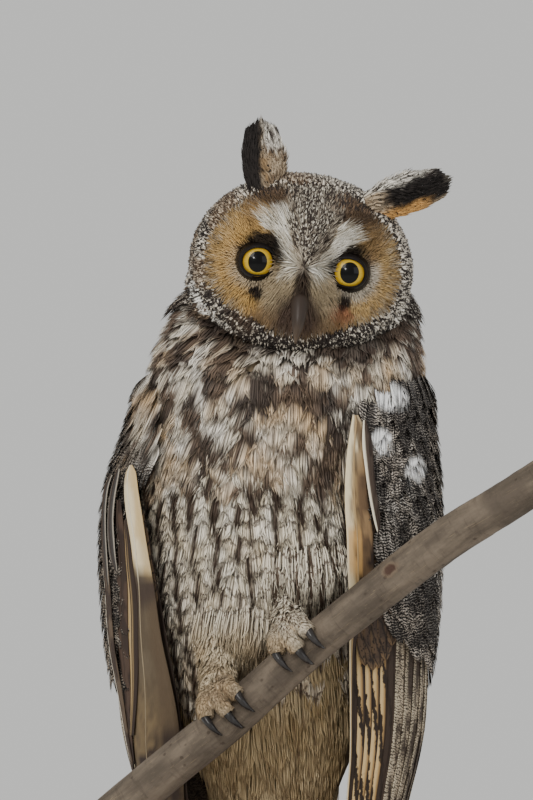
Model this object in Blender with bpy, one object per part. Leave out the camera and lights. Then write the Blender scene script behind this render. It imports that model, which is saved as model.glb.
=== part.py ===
"""A long-eared owl at life size, perched on a cut length of branch that a display stand holds up.

Metres, +Z up. The owl's face looks along -Y and its own left side is at +X.
The origin is the middle of the underside of the stand's base.
"""

import math
import random

import bmesh
import bpy
import numpy as np
from mathutils import Matrix, Vector

MM = 0.001
GAP = 0.3 * MM
# Thickness of every feather's vane
VANE = 0.6 * MM

# The owl's chest is turned a little to its right, while its face looks straight ahead
BODY_YAW = math.radians(-15)

# Body under the wings. Millimetres: height, middle x, middle y, half width, depth in front, depth behind
TORSO_ROWS = (
    (98, -10, 42, 9, 5, 5),
    (104, -10, 41, 18, 10, 9),
    (130, -11, 36, 35, 21, 17),
    (160, -12, 30, 45, 28, 23),
    (190, -12.5, 24, 52, 36, 29),
    (220, -11.5, 18, 55, 44.5, 33.5),
    (250, -10.5, 14, 57, 48.5, 38),
    (275, -7, 12, 57, 49, 40),
    (297, -4.8, 10, 56.6, 46, 41),
)
NECK_ROWS = (
    (297.3, -4.8, 10, 56.1, 44, 41),
    (302, -4.3, 9.5, 55.3, 38, 41),
    (307, -3.7, 9, 53.8, 33, 40),
    (318, -2.4, 8, 49, 28, 37),
    (330, 0, 6, 38, 24, 33),
)
# Sheet of folded wing feathers round the body. Millimetres: height, middle x, middle y, half width, depth, depth
WING_ROWS = (
    (22, -5.5, 49, 29, 12, 12),
    (50, -6.5, 46, 34.5, 16, 16),
    (80, -7.8, 42, 43, 21, 21),
    (100, -9, 39, 49.2, 24, 24),
    (120, -10.2, 35, 56.2, 28, 28),
    (140, -10.6, 31, 62.3, 31, 31),
    (160, -11, 26, 66.3, 34, 34),
    (180, -12, 21, 69.2, 36, 38),
    (200, -11.8, 17, 70.7, 40, 43),
    (220, -12, 14, 71.2, 45.5, 48),
    (250, -10.5, 13, 69, 52, 52),
    (270, -8, 12, 64.5, 50, 50),
    (290, -6, 11, 61, 46.5, 46.5),
    (304, -4.5, 10, 54.5, 42, 42),
)

# Head, in its own frame: x to the owl's left, y backwards, z up, from the point between the eyes
HEAD_MIDDLE = Vector((0.3, -11.0, 333.0)) * MM
HEAD_ROLL = math.radians(6.9)
HEAD_PITCH = math.radians(0.5)
HEAD_YAW = math.radians(2.0)
HEAD_HALF_WIDTH = 42.5 * MM
HEAD_ABOVE = 35.5 * MM
HEAD_BELOW = 34 * MM
HEAD_FRONT = 33 * MM
HEAD_BACK = 41 * MM
EYE_SPACING = 36.8 * MM
EYE_RADIUS = 8.8 * MM
EYE_DEPTH = 23 * MM

# Perch: millimetres along x: height of its middle, radius
PERCH_ROWS = (
    (-90, 101.5, 8.9),
    (-66, 121.5, 9.0),
    (-46, 138, 9.0),
    (-30, 151, 8.9),
    (-14, 165.5, 8.6),
    (2, 180, 8.5),
    (20, 194.8, 8.5),
    (37, 208.5, 8.6),
    (57, 224, 8.8),
    (82, 240, 8.5),
    (106, 255, 8.4),
)
PERCH_DEPTH = -26 * MM
PERCH_DEPTH_SLOPE = -0.36

# Stand
BASE_SIZE = Vector((240, 152, 15)) * MM
BASE_CORNER = 22 * MM
BASE_EDGE = 2 * MM
ROD_RADIUS = 3 * MM
ROD_X = (-82 * MM, 98 * MM)

COLOURS = {
    "feather_body": ((0.42, 0.34, 0.26), 0.9, 0.0),
    "feather_head": ((0.46, 0.36, 0.25), 0.9, 0.0),
    "feather_wing": ((0.20, 0.16, 0.13), 0.85, 0.0),
    "feather_tail": ((0.34, 0.27, 0.19), 0.85, 0.0),
    "feather_leg": ((0.55, 0.46, 0.34), 0.9, 0.0),
    "eye": ((0.85, 0.55, 0.04), 0.08, 0.0),
    "bill": ((0.06, 0.055, 0.055), 0.35, 0.0),
    "claw": ((0.02, 0.02, 0.022), 0.3, 0.0),
    "bark": ((0.20, 0.17, 0.14), 0.8, 0.0),
    "base_wood": ((0.16, 0.08, 0.04), 0.4, 0.0),
    "rod_metal": ((0.04, 0.04, 0.042), 0.4, 0.8),
}


def smooth_rows(rows):
    """A smooth function through the rows of a table in millimetres, whose first column is where each row is."""
    table = np.array(rows, float) * MM
    at, values = table[:, 0], table[:, 1:]
    slopes = np.gradient(values, at, axis=0)

    def read(place):
        place = min(max(place, at[0]), at[-1])
        k = min(int(np.searchsorted(at, place, side="right")) - 1, len(at) - 2)
        span = at[k + 1] - at[k]
        t = (place - at[k]) / span
        rise = values[k] * (1 + 2 * t) * (1 - t) ** 2 + values[k + 1] * t * t * (3 - 2 * t)
        rise += span * (slopes[k] * t * (1 - t) ** 2 - slopes[k + 1] * t * t * (1 - t))
        return [float(v) for v in rise]

    return read


def table(rows):
    """A straight-line reading of a table of two columns."""
    at, values = zip(*rows)
    return lambda place: float(np.interp(place, at, values))


def mix(a, b, share):
    return a + (b - a) * share


def smoothstep(low, high, value):
    t = min(max((value - low) / (high - low), 0.0), 1.0)
    return t * t * (3 - 2 * t)


class Round:
    """A body of oval sections, one at each height, all turned by the body's yaw."""

    def __init__(self, rows):
        self.read = smooth_rows(rows)
        self.bottom = rows[0][0] * MM
        self.top = rows[-1][0] * MM

    def point(self, angle, height, out=0.0):
        """The point at an angle from the body's front, positive towards the owl's left."""
        x, y, half, front, back = self.read(height)
        depth = front if math.cos(angle) > 0 else back
        side = Vector((math.sin(angle) * (half + out), -math.cos(angle) * (depth + out), 0))
        return Vector((x, y, height)) + Matrix.Rotation(BODY_YAW, 3, "Z") @ side

    def normal(self, angle, height):
        step_angle, step_height = 0.02, 1 * MM
        across = self.point(angle + step_angle, height) - self.point(angle - step_angle, height)
        along = self.point(angle, height + step_height) - self.point(angle, height - step_height)
        return across.cross(along).normalized()

    def solid(self, name, out=0.0, ring_count=14, sides=32, past_top=0.0):
        heights = np.linspace(self.bottom, self.top, ring_count).tolist()
        rings = [
            [self.point(2 * math.pi * k / sides, height, out) for k in range(sides)]
            for height in heights
        ]
        if out:
            rings[0] = [p - Vector((0, 0, out)) for p in rings[0]]
        if past_top:
            rings.append([p + Vector((0, 0, past_top)) for p in rings[-1]])
        return loft(name, rings)


def new_object(name, mesh):
    obj = bpy.data.objects.new(name, mesh)
    bpy.context.scene.collection.objects.link(obj)
    return obj


def mesh_object(name, points, faces):
    """A mesh with its faces turned to point out."""
    mesh = bpy.data.meshes.new(name)
    mesh.from_pydata([tuple(p) for p in points], [], faces)
    shape = bmesh.new()
    shape.from_mesh(mesh)
    bmesh.ops.recalc_face_normals(shape, faces=shape.faces)
    shape.to_mesh(mesh)
    shape.free()
    return new_object(name, mesh)


def loft(name, rings):
    """A closed body through rings of equally many points, with a flat cap on each end."""
    count = len(rings[0])
    points = [p for ring in rings for p in ring]
    faces = [tuple(range(count))[::-1], tuple(range(len(points) - count, len(points)))]
    for r in range(len(rings) - 1):
        for k in range(count):
            here, beside = r * count + k, r * count + (k + 1) % count
            faces.append((here, beside, beside + count, here + count))
    return mesh_object(name, points, faces)


def slab(name, outer, inner):
    """A closed body between two grids of points, alike in size, with walls round the edge."""
    rows, columns = len(outer), len(outer[0])
    points = [p for grid in (outer, inner) for row in grid for p in row]
    back = rows * columns

    def at(r, c, side):
        return side * back + r * columns + c

    faces = []
    for r in range(rows - 1):
        for c in range(columns - 1):
            quad = [(r, c), (r, c + 1), (r + 1, c + 1), (r + 1, c)]
            for side in (0, 1):
                a, b, d, e = [at(i, j, side) for i, j in quad]
                faces += [(a, b, d), (a, d, e)]
    rim = [(0, c) for c in range(columns)] + [(r, columns - 1) for r in range(1, rows)]
    rim += [(rows - 1, c) for c in range(columns - 2, -1, -1)] + [(r, 0) for r in range(rows - 2, 0, -1)]
    for (r, c), (s, d) in zip(rim, rim[1:] + rim[:1]):
        faces += [(at(r, c, 0), at(s, d, 0), at(s, d, 1)), (at(r, c, 0), at(s, d, 1), at(r, c, 1))]
    return mesh_object(name, points, faces)


def tube(name, path, radii, sides=10, flat=1.0, up=Vector((0, 0, 1))):
    """A closed body along a path. Its section is an oval that is flat times as thick along up as it is wide."""
    rings = []
    for k, middle in enumerate(path):
        along = (path[min(k + 1, len(path) - 1)] - path[max(k - 1, 0)]).normalized()
        across = along.cross(up).normalized()
        rise = across.cross(along)
        ring = []
        for j in range(sides):
            turn = 2 * math.pi * (j + 0.5) / sides
            ring.append(middle + radii[k] * (math.cos(turn) * across + flat * math.sin(turn) * rise))
        rings.append(ring)
    return loft(name, rings)


def ball(name, middle, radius, segments=20, rings=12, stretch=(1, 1, 1)):
    mesh = bpy.data.meshes.new(name)
    shape = bmesh.new()
    bmesh.ops.create_uvsphere(shape, u_segments=segments, v_segments=rings, radius=radius)
    bmesh.ops.scale(shape, vec=stretch, verts=shape.verts)
    bmesh.ops.translate(shape, vec=middle, verts=shape.verts)
    shape.to_mesh(mesh)
    shape.free()
    return new_object(name, mesh)


def settle(obj):
    """Turns an object's modifiers into its mesh."""
    graph = bpy.context.evaluated_depsgraph_get()
    made = bpy.data.meshes.new_from_object(obj.evaluated_get(graph))
    obj.modifiers.clear()
    obj.data = made
    return obj


def keep_largest(obj):
    """Drops every closed surface of the mesh but the one with the most volume."""
    shape = bmesh.new()
    shape.from_mesh(obj.data)
    left = set(shape.verts)
    pieces = []
    while left:
        seed = left.pop()
        piece, edge = {seed}, [seed]
        while edge:
            for link in edge.pop().link_edges:
                for vert in link.verts:
                    if vert in left:
                        left.discard(vert)
                        piece.add(vert)
                        edge.append(vert)
        pieces.append(piece)

    def volume(piece):
        total = 0.0
        for face in {f for v in piece for f in v.link_faces}:
            corners = [v.co for v in face.verts]
            for k in range(1, len(corners) - 1):
                total += corners[0].dot(corners[k].cross(corners[k + 1]))
        return total

    largest = max(pieces, key=volume)
    loose = [v for v in shape.verts if v not in largest]
    bmesh.ops.delete(shape, geom=loose, context="VERTS")
    shape.to_mesh(obj.data)
    shape.free()
    return obj


def cut(obj, *cutters):
    """Takes the cutters out of an object, and removes them."""
    for cutter in cutters:
        modifier = obj.modifiers.new("cut", "BOOLEAN")
        modifier.operation = "DIFFERENCE"
        modifier.solver = "EXACT"
        modifier.object = cutter
        settle(obj)
        bpy.data.objects.remove(cutter)
    return keep_largest(obj)


def fuse(name, pieces, solver="EXACT"):
    """Joins closed bodies that overlap into one, and removes them."""
    body = pieces[0]
    others = bpy.data.collections.new(name + "_pieces")
    bpy.context.scene.collection.children.link(others)
    for piece in pieces[1:]:
        others.objects.link(piece)
    modifier = body.modifiers.new("fuse", "BOOLEAN")
    modifier.operation = "UNION"
    modifier.solver = solver
    modifier.operand_type = "COLLECTION"
    modifier.collection = others
    settle(body)
    for piece in pieces[1:]:
        bpy.data.objects.remove(piece)
    bpy.data.collections.remove(others)
    body.name = name
    return keep_largest(body)


def finish(obj, name, colour, sharp=50):
    obj.name = name
    rgb, roughness, metallic = COLOURS[colour]
    material = bpy.data.materials.get(colour) or bpy.data.materials.new(colour)
    material.use_nodes = True
    shader = material.node_tree.nodes["Principled BSDF"]
    shader.inputs["Base Color"].default_value = (*rgb, 1)
    shader.inputs["Roughness"].default_value = roughness
    shader.inputs["Metallic"].default_value = metallic
    obj.data.materials.clear()
    obj.data.materials.append(material)
    obj.data.shade_smooth()
    obj.data.set_sharp_from_angle(angle=math.radians(sharp))
    return obj


torso_surface = Round(TORSO_ROWS)
neck_surface = Round(NECK_ROWS)
wing_surface = Round(WING_ROWS)
perch_read = smooth_rows(PERCH_ROWS)

HEAD_FRAME = (
    Matrix.Translation(HEAD_MIDDLE)
    @ Matrix.Rotation(HEAD_YAW, 4, "Z")
    @ Matrix.Rotation(HEAD_ROLL, 4, "Y")
    @ Matrix.Rotation(HEAD_PITCH, 4, "X")
)


def head_shape(polar, turn, out=0.0):
    """A point of the head in its own frame: polar 0 faces ahead, pi back, and turn 0 is to the owl's left."""
    ahead, away = math.cos(polar), math.sin(polar)
    power = 0.62 if ahead > 0 else 1.0
    depth = (HEAD_FRONT if ahead > 0 else HEAD_BACK) + out
    spread = away**0.9
    rise = HEAD_ABOVE if math.sin(turn) > 0 else HEAD_BELOW
    x = (HEAD_HALF_WIDTH + out) * spread * math.cos(turn)
    z = (rise + out) * spread * math.sin(turn)
    y = -depth * math.copysign(abs(ahead) ** power, ahead)
    if ahead > 0:
        y -= face_relief(x, z)
    return Vector((x, y, z))


def face_relief(x, z):
    """How far the face stands forward of the plain head at a place in front of it."""
    x, z = abs(x) / MM, z / MM
    from_eye = math.hypot(x - 19, z)
    dish = -5.0 * max(0.0, 1 - (from_eye / 21) ** 2) ** 1.5
    ridge = 6.5 * math.exp(-((x / 6.5) ** 2)) * smoothstep(34, 16, z) * smoothstep(-34, -22, z)
    return (dish + ridge) * MM


def head_solid(name, out=0.0, ring_count=18, sides=32):
    polars = [math.pi * (k / ring_count) for k in range(1, ring_count)]
    rings = [[head_shape(polar, 2 * math.pi * k / sides, out) for k in range(sides)] for polar in polars]
    points = [HEAD_FRAME @ p for ring in rings for p in ring]
    points += [HEAD_FRAME @ head_shape(0.0, 0.0, out), HEAD_FRAME @ head_shape(math.pi, 0.0, out)]
    front, back = len(points) - 2, len(points) - 1
    last = (len(rings) - 1) * sides
    faces = []
    for k in range(sides):
        after = (k + 1) % sides
        faces += [(front, k, after), (back, last + after, last + k)]
        for r in range(len(rings) - 1):
            here, beside = r * sides + k, r * sides + after
            faces.append((here, beside, beside + sides, here + sides))
    obj = mesh_object(name, points, faces)
    settle_triangles(obj)
    return obj


def settle_triangles(obj):
    """Splits every face into triangles, so that no bent quad is read two ways."""
    shape = bmesh.new()
    shape.from_mesh(obj.data)
    bmesh.ops.triangulate(shape, faces=shape.faces)
    shape.to_mesh(obj.data)
    shape.free()


def perch_frame(x):
    """The perch's middle, the way it runs, the way out to the front and the way up, at a place along it."""

    def middle(place):
        return Vector((place, PERCH_DEPTH + PERCH_DEPTH_SLOPE * place, perch_read(place)[0]))

    step = 1 * MM
    along = (middle(x + step) - middle(x - step)).normalized()
    front = along.cross(Vector((0, 0, 1))).normalized()
    return middle(x), along, front, front.cross(along)


def perch_solid(name, out=0.0, ring_count=14, sides=12):
    start, end = PERCH_ROWS[0][0] * MM, PERCH_ROWS[-1][0] * MM
    rings = []
    for x in np.linspace(start, end, ring_count).tolist():
        middle, _, front, up = perch_frame(x)
        radius = perch_read(x)[1] + out
        turns = [2 * math.pi * k / sides for k in range(sides)]
        rings.append([middle + radius * (math.cos(t) * front + math.sin(t) * up) for t in turns])
    return loft(name, rings)


def eye_middle(side, forward=0.0):
    return HEAD_FRAME @ Vector((side * EYE_SPACING / 2, -EYE_DEPTH - forward, 0))


def make_eye(side, name):
    return finish(ball(name, eye_middle(side), EYE_RADIUS, segments=16, rings=9), name, "eye")


BILL_PATH = ((0, -30, -5), (0, -37, -8), (0, -42, -14), (0, -43.5, -20.5), (0, -41.5, -27.5))
BILL_RADII = (6.0, 5.4, 4.3, 2.9, 0.5)
LOWER_BILL_PATH = ((0, -28, -12), (0, -35, -15.5), (0, -39.6, -21))
LOWER_BILL_RADII = (4.4, 3.4, 1.0)


def bill_solid(name, path, radii, out=0.0):
    points = [HEAD_FRAME @ (Vector(p) * MM) for p in path]
    return tube(name, points, [r * MM + out for r in radii], sides=12, flat=1.25, up=Vector((0, 1, 0.2)))


def make_bill():
    upper = bill_solid("bill_upper", BILL_PATH, BILL_RADII)
    for side in (-1, 1):
        nostril = HEAD_FRAME @ (Vector((side * 4.7, -39.5, -9.5)) * MM)
        cut(upper, ball("nostril", nostril, 1.1 * MM, segments=8, rings=6, stretch=(1, 1, 1)))
    finish(upper, "bill_upper", "bill")
    lower = bill_solid("bill_lower", LOWER_BILL_PATH, LOWER_BILL_RADII)
    cut(lower, bill_solid("bill_room", BILL_PATH, BILL_RADII, out=GAP))
    finish(lower, "bill_lower", "bill")


# Lids: how far they stand over the eyeball, and the half sizes of the opening between them
LID_OUT = 1.3 * MM
LID_OPENING = Vector((6.4, 5.7)) * MM
LID_OPENING_TURN = math.radians(12)


def lid_opening(side):
    """The room in front of an eyeball that its lids leave open: a slightly slanted oval."""
    rings = []
    for forward, share in ((4 * MM, 0.9), (EYE_RADIUS + 4 * MM, 1.12)):
        ring = []
        for k in range(16):
            turn = 2 * math.pi * k / 16
            x, z = LID_OPENING.x * share * math.cos(turn), LID_OPENING.y * share * math.sin(turn)
            slant = Matrix.Rotation(side * LID_OPENING_TURN, 3, "Y") @ Vector((x, 0, z))
            ring.append(HEAD_FRAME @ (Vector((side * EYE_SPACING / 2, -EYE_DEPTH - forward, 0)) + slant))
        rings.append(ring)
    return loft("opening", rings)


# Ruff round the face: two rows of short stiff feathers. Polar angles in degrees, lengths in millimetres
RUFF_RIM = (74, 61)
RUFF_ROWS = ((-8, 18, 10.5, 4.9), (3, 11, 9.5, 5.2))
RUFF_COUNT = 24
RUFF_BOTTOM_LIFT = 30
# How far the ruff keeps from the neck and torso
RUFF_ROOM = 1.3 * MM
RUFF_WIDTHS = ((0, 0.8), (0.55, 1), (1, 0.35))
# Turns round the face, in degrees, that the ear tufts and the forehead take up
RUFF_GAPS = ((18, 74), (84, 96), (101, 146))

ruff_width = table(RUFF_WIDTHS)


def is_inside(surface, point, out):
    """Whether a point is within a distance of the inside of a round body."""
    if not surface.bottom - out <= point.z <= surface.top + out:
        return False
    x, y, half, front, back = surface.read(point.z)
    local = Matrix.Rotation(-BODY_YAW, 3, "Z") @ (point - Vector((x, y, point.z)))
    depth = front if local.y < 0 else back
    return math.hypot(local.x / (half + out), local.y / (depth + out)) < 1


def ruff_vane(turn, row):
    """One feather of the ruff, or None where the neck leaves it no room."""
    shift, lift, length, half = RUFF_ROWS[row]
    low = smoothstep(0.2, 0.95, -math.sin(turn))
    polar = math.radians(mix(RUFF_RIM[0], RUFF_RIM[1], low) + shift)
    lift = math.radians(lift + RUFF_BOTTOM_LIFT * low)
    step = math.radians(3)
    away = (head_shape(polar + step, turn) - head_shape(polar - step, turn)).normalized()
    round_face = (head_shape(polar, turn + step) - head_shape(polar, turn - step)).normalized()
    normal = round_face.cross(away).normalized()
    normal *= math.copysign(1, normal.dot(head_shape(polar, turn)))
    way = math.cos(lift) * away + math.sin(lift) * normal
    across = way.cross(normal).normalized()
    top = across.cross(way).normalized()
    top *= math.copysign(1, top.dot(normal))
    start = head_shape(polar, turn) - 1.8 * MM * normal
    outer, inner = [], []
    for share in (0, 0.55, 1):
        middle = HEAD_FRAME @ (start + way * length * MM * share)
        side = (HEAD_FRAME.to_3x3() @ across) * half * MM * ruff_width(share)
        depth = (HEAD_FRAME.to_3x3() @ top) * VANE
        outer.append([middle - side, middle + side])
        inner.append([middle - side - depth, middle + side - depth])
    for share_row in outer[1:] + inner[1:]:
        for point in share_row:
            if is_inside(neck_surface, point, RUFF_ROOM) or is_inside(torso_surface, point, RUFF_ROOM):
                return None
    return slab("ruff", outer, inner)


def ruff_vanes():
    for row in range(2):
        for k in range(RUFF_COUNT):
            turn = 360 * (k + 0.5 * row) / RUFF_COUNT
            if any(low < turn < high for low, high in RUFF_GAPS):
                continue
            vane = ruff_vane(math.radians(turn), row)
            if vane:
                yield vane


def make_head():
    lids = [ball("lids", eye_middle(side), EYE_RADIUS + LID_OUT, segments=16, rings=10) for side in (-1, 1)]
    head = fuse("head", [head_solid("skull"), *lids, *ruff_vanes()])
    cut(
        head,
        ball("room_r", eye_middle(-1), EYE_RADIUS + GAP, segments=16, rings=9),
        ball("room_l", eye_middle(1), EYE_RADIUS + GAP, segments=16, rings=9),
        lid_opening(-1),
        lid_opening(1),
        bill_solid("room_upper", BILL_PATH, BILL_RADII, out=GAP),
        bill_solid("room_lower", LOWER_BILL_PATH, LOWER_BILL_RADII, out=GAP),
    )
    return finish(head, "head", "feather_head")


# Ear tufts in the head's frame, millimetres: root, tip
TUFTS = {
    "ear_tuft_right": ((-18.6, -14, 29.5), (-23.4, -9, 57.0)),
    "ear_tuft_left": ((25.6, -14, 28.0), (55.4, -7, 42.5)),
}
TUFT_COUNT = 7
TUFT_HALF = {"ear_tuft_right": 4.0, "ear_tuft_left": 3.9}
# How far the outer feathers lie from the tuft's axis, from the root to the tip, and how much shorter they are
TUFT_SPREAD = ((-0.3, 4.5), (0.1, 6.5), (0.5, 7.8), (1, 4.6))
TUFT_SHORTER = 0.32
TUFT_SHARES = (-0.28, 0.1, 0.45, 0.78, 1.0)
TUFT_WIDTHS = ((-0.3, 0.7), (0.1, 0.95), (0.5, 1), (0.8, 0.7), (1, 0.2))
TUFT_STEP = 1.1

tuft_spread = table(TUFT_SPREAD)
tuft_width = table(TUFT_WIDTHS)


def make_tuft(name):
    root, tip = (Vector(p) * MM for p in TUFTS[name])
    way = (tip - root).normalized()
    face = Vector((0, -1, 0))
    face = (face - face.dot(way) * way).normalized()
    across = way.cross(face)
    length = (tip - root).length
    half = TUFT_HALF[name] * MM
    vanes = []
    for k in range(TUFT_COUNT):
        place = 2 * k / (TUFT_COUNT - 1) - 1
        long = length * (1 - TUFT_SHORTER * place * place)
        outer, inner = [], []
        for share in TUFT_SHARES:
            spread = tuft_spread(share)
            lean = TUFT_STEP * (TUFT_COUNT - 1) / (2 * spread)
            middle = root + way * long * share + across * place * spread * MM
            width = half * tuft_width(share)
            sides = [(side * width, -lean * side * width) for side in (-1, 1)]
            outer.append([HEAD_FRAME @ (middle + across * s + face * out) for s, out in sides])
            inner.append([HEAD_FRAME @ (middle + across * s + face * (out - VANE)) for s, out in sides])
        vanes.append(slab("vane", outer, inner))
    path = [HEAD_FRAME @ (root + way * length * share) for share in (-0.25, 0.0, 0.2, 0.36)]
    core = tube(name, path, [r * MM for r in (7.5, 7.5, 6.5, 3)], sides=10, flat=0.45, up=Vector((0, -1, 0)))
    tuft = fuse(name, [core, *vanes])
    cut(tuft, head_solid("head_room", out=GAP))
    return finish(tuft, name, "feather_head")


def make_torso():
    torso = torso_surface.solid("torso", ring_count=16, sides=32)
    hind = TOES[-1]
    rooms = [make(which, hind, GAP) for which in FOOT_X for make in (toe_solid, claw_solid)]
    rooms += [pad_solid(which, GAP) for which in FOOT_X]
    cut(torso, perch_solid("perch_room", out=GAP), *rooms)
    return finish(torso, "torso", "feather_body")


def make_neck():
    neck = neck_surface.solid("neck", ring_count=7, sides=32)
    cut(neck, head_solid("head_room", out=GAP))
    return finish(neck, "neck", "feather_body")


def torso_room(out=GAP):
    """What a piece beside the torso keeps clear of."""
    return torso_surface.solid("torso_room", out=out, ring_count=16, sides=32, past_top=1 * MM)


# Folded wings: degrees from the body's front to the leading and trailing edges, by height in millimetres
LEADING = {
    1: ((22, 78), (60, 60), (100, 46), (140, 42), (200, 41), (250, 43), (304, 55)),
    -1: ((22, 74), (60, 52), (100, 35), (140, 27), (200, 31), (250, 40), (304, 52)),
}
TRAILING = ((22, 104), (60, 122), (100, 138), (140, 148), (200, 152), (250, 152), (304, 140))
# The right wing shows a wider sheet than the left one
WING_SPREAD = {1: 1.0, -1: 1.1}

# Width of a wing feather as a share of its full width, from root to tip
VANE_WIDTHS = ((0, 0.6), (0.25, 1), (0.78, 0.96), (0.93, 0.68), (1, 0.25))
TAPER_LENGTH = 0.13

# Flight feathers from the wing's leading edge to its trailing edge: height of the tip, and how far back it is
FLIGHT_TIPS = (
    (35, 4), (22, 5), (24, 7), (29, 9.5), (37, 12), (47, 15), (58, 19), (69, 24),
    (80, 30), (82, 34), (85, 38), (88, 42), (91, 47), (95, 52),
    (110, 59), (124, 67),
)
FLIGHT_ROOT = 226
FLIGHT_FIRST = 5
FLIGHT_SPACING = 7.1
FLIGHT_HALF_WIDTH = 6.2
FLIGHT_LEVELS = (170, 112)
# How deep the flight feathers lie under the sheet and how far they lean over one another, by height
FLIGHT_DEPTH = ((22, -1.5), (60, -1.6), (110, -1.2), (150, -2.4), (172, -4.4), (206, -6.8), (226, -8.4))
FLIGHT_LEAN = ((22, 0.5), (60, 0.43), (100, 0.31), (150, 0.235), (226, 0.165))

# Coverts in tiers: tip and root heights, first and last distance from the leading edge, how many, half width
COVERTS = {
    "primary": (170, 232, 5, 26, 4, 5.2),
    "greater": (179, 240, 37, 110, 7, 7.4),
    "median": (206, 256, 8, 110, 8, 8.2),
    "lesser": (234, 272, 8, 108, 8, 8.2),
    "marginal": (258, 284, 10, 100, 7, 8.6),
}
COVERT_TIP_DEPTH = 0.9
COVERT_DEPTH_SLOPE = 0.1
COVERT_LEAN = 0.115
ALULA = ((192, 3.5), (186, 9))
# The solid part of the wing that the feathers grow from
CORE_BOTTOM = (210, 224)
CORE_TOP = 290
CORE_DEPTH = ((205, -6.0), (240, -4.6), (290, -2.4))


vane_width = table(VANE_WIDTHS)
flight_depth = table(FLIGHT_DEPTH)
flight_lean = table(FLIGHT_LEAN)
core_depth = table(CORE_DEPTH)


def angle_rows(rows):
    read = smooth_rows(rows)
    return lambda height: math.radians(read(height)[0] / MM)


leading_edge = {side: angle_rows(rows) for side, rows in LEADING.items()}
trailing_edge = angle_rows(TRAILING)


def wing_angle(side, height, back):
    """The angle round the body of a place on the wing's sheet, a distance back from its leading edge."""
    angle = leading_edge[side](height)
    step = math.radians(1.5)
    left = back * WING_SPREAD[side]
    before = wing_surface.point(angle, height)
    while left > 0:
        after = wing_surface.point(angle + step, height)
        length = (after - before).length
        angle += step * min(1, left / length)
        left -= length
        before = after
    if left < 0 and back < 0:
        angle += back / (before - wing_surface.point(angle - step, height)).length * step
    return side * angle


def wing_place(side, height, back, out):
    """A point of the folded wing. Millimetres: height, distance back from the leading edge, height over it."""
    height *= MM
    return wing_surface.point(wing_angle(side, height, back * MM), height, out * MM)


def stations(root, tip, levels):
    """Heights at which a vane has a section: the shared levels between its ends, then its tapering tip."""
    taper = tip + (root - tip) * TAPER_LENGTH
    inner = [level for level in levels if taper + 6 < level < root - 6]
    return [root, *inner, taper, tip]


def wing_vane(side, root, tip, half, depth, lean, levels=()):
    """One feather of the folded wing, from its root to its tip: each is a height and a distance back."""
    outer, inner = [], []
    for height in stations(root[0], tip[0], levels):
        share = (root[0] - height) / (root[0] - tip[0])
        back = mix(root[1], tip[1], share)
        width = half * vane_width(share)
        sides = (-width, 0, width) if levels else (-width, width)
        outs = [depth(height) - lean(height) * side for side in sides]
        outer.append([wing_place(side, height, back + s, out) for s, out in zip(sides, outs)])
        inner.append([wing_place(side, height, back + s, out - VANE / MM) for s, out in zip(sides, outs)])
    return slab("vane", outer, inner)


def flight_feathers(side):
    for k, (tip, back) in enumerate(FLIGHT_TIPS):
        root = (FLIGHT_ROOT, FLIGHT_FIRST + FLIGHT_SPACING * k)
        yield wing_vane(side, root, (tip, back), FLIGHT_HALF_WIDTH, flight_depth, flight_lean, FLIGHT_LEVELS)


def wing_coverts(side, draw):
    for tip, root, first, last, count, half in COVERTS.values():
        for k in range(count):
            back = mix(first, last, k / (count - 1))
            end = tip + draw.uniform(-2.5, 2.5)

            def depth(height):
                return -COVERT_TIP_DEPTH - COVERT_DEPTH_SLOPE * (height - tip)

            yield wing_vane(side, (root, back), (end, back * 0.95), half, depth, lambda height: COVERT_LEAN)


def alula_feathers(side):
    for k, (tip, back) in enumerate(ALULA):

        def depth(height):
            return 2.2 + 0.9 * k - COVERT_DEPTH_SLOPE * (height - tip)

        yield wing_vane(side, (236, back), (tip, back), 4.2, depth, lambda height: COVERT_LEAN)


def wing_core(side):
    outer, inner = [], []
    for k in range(4):
        row_out, row_in = [], []
        for j in range(8):
            low = mix(CORE_BOTTOM[0], CORE_BOTTOM[1], j / 7)
            height = mix(low, CORE_TOP, k / 3) * MM
            start, end = leading_edge[side](height), trailing_edge(height)
            angle = side * mix(start, end, mix(0.05, 0.95, j / 7))
            out = core_depth(height / MM) * MM
            row_out.append(wing_surface.point(angle, height, out))
            row_in.append(wing_surface.point(angle, height, out - 12 * MM))
        outer.append(row_out)
        inner.append(row_in)
    return slab("core", outer, inner)


def make_wing(side, name):
    """A folded wing: flight feathers in one long row, and tiers of coverts over their roots."""
    draw = random.Random(11 + side)
    core = wing_core(side)
    wing = fuse(name, [core, *flight_feathers(side), *wing_coverts(side, draw), *alula_feathers(side)])
    cut(wing, torso_room())
    return finish(wing, name, "feather_wing")


# Tail feathers on each side from the middle one outwards. Millimetres: spacing and width by height
TAIL_PAIRS = 5
TAIL_SPACING = ((28, 3.3), (96, 1.8))
TAIL_STEP = 1.1
TAIL_TIPS = (28, 28.5, 29.5, 31, 33.5)
TAIL_WIDTHS = ((0, 1), (0.75, 1), (0.92, 0.7), (1, 0.25))
TAIL_CENTRE = ((28, 1.2, 2.5), (27.5, -1.2, 3.5))
TAIL_CENTRE_HALF = 5.2
TAIL_BOW = -4.0
TAIL_BACK = 3.0
# Coverts over and under the tail: tip height, how far back, half width, lean
TAIL_COVERTS = ((74, 5.9, 3.4, 0.25), (66, -3.6, 3.4, 0.25))

tail_spacing = table(TAIL_SPACING)
tail_width = table(TAIL_WIDTHS)


def tail_place(across, height, back):
    """A point of the tail in millimetres: how far to the owl's left, height, and how far back."""
    x, y = (float(v) for v in wing_surface.read(height * MM)[:2])
    bow = TAIL_BOW * (across / 23) ** 2
    local = Vector((across, TAIL_BACK + back + bow, 0)) * MM
    return Vector((x, y, height * MM)) + Matrix.Rotation(BODY_YAW, 3, "Z") @ local


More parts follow.
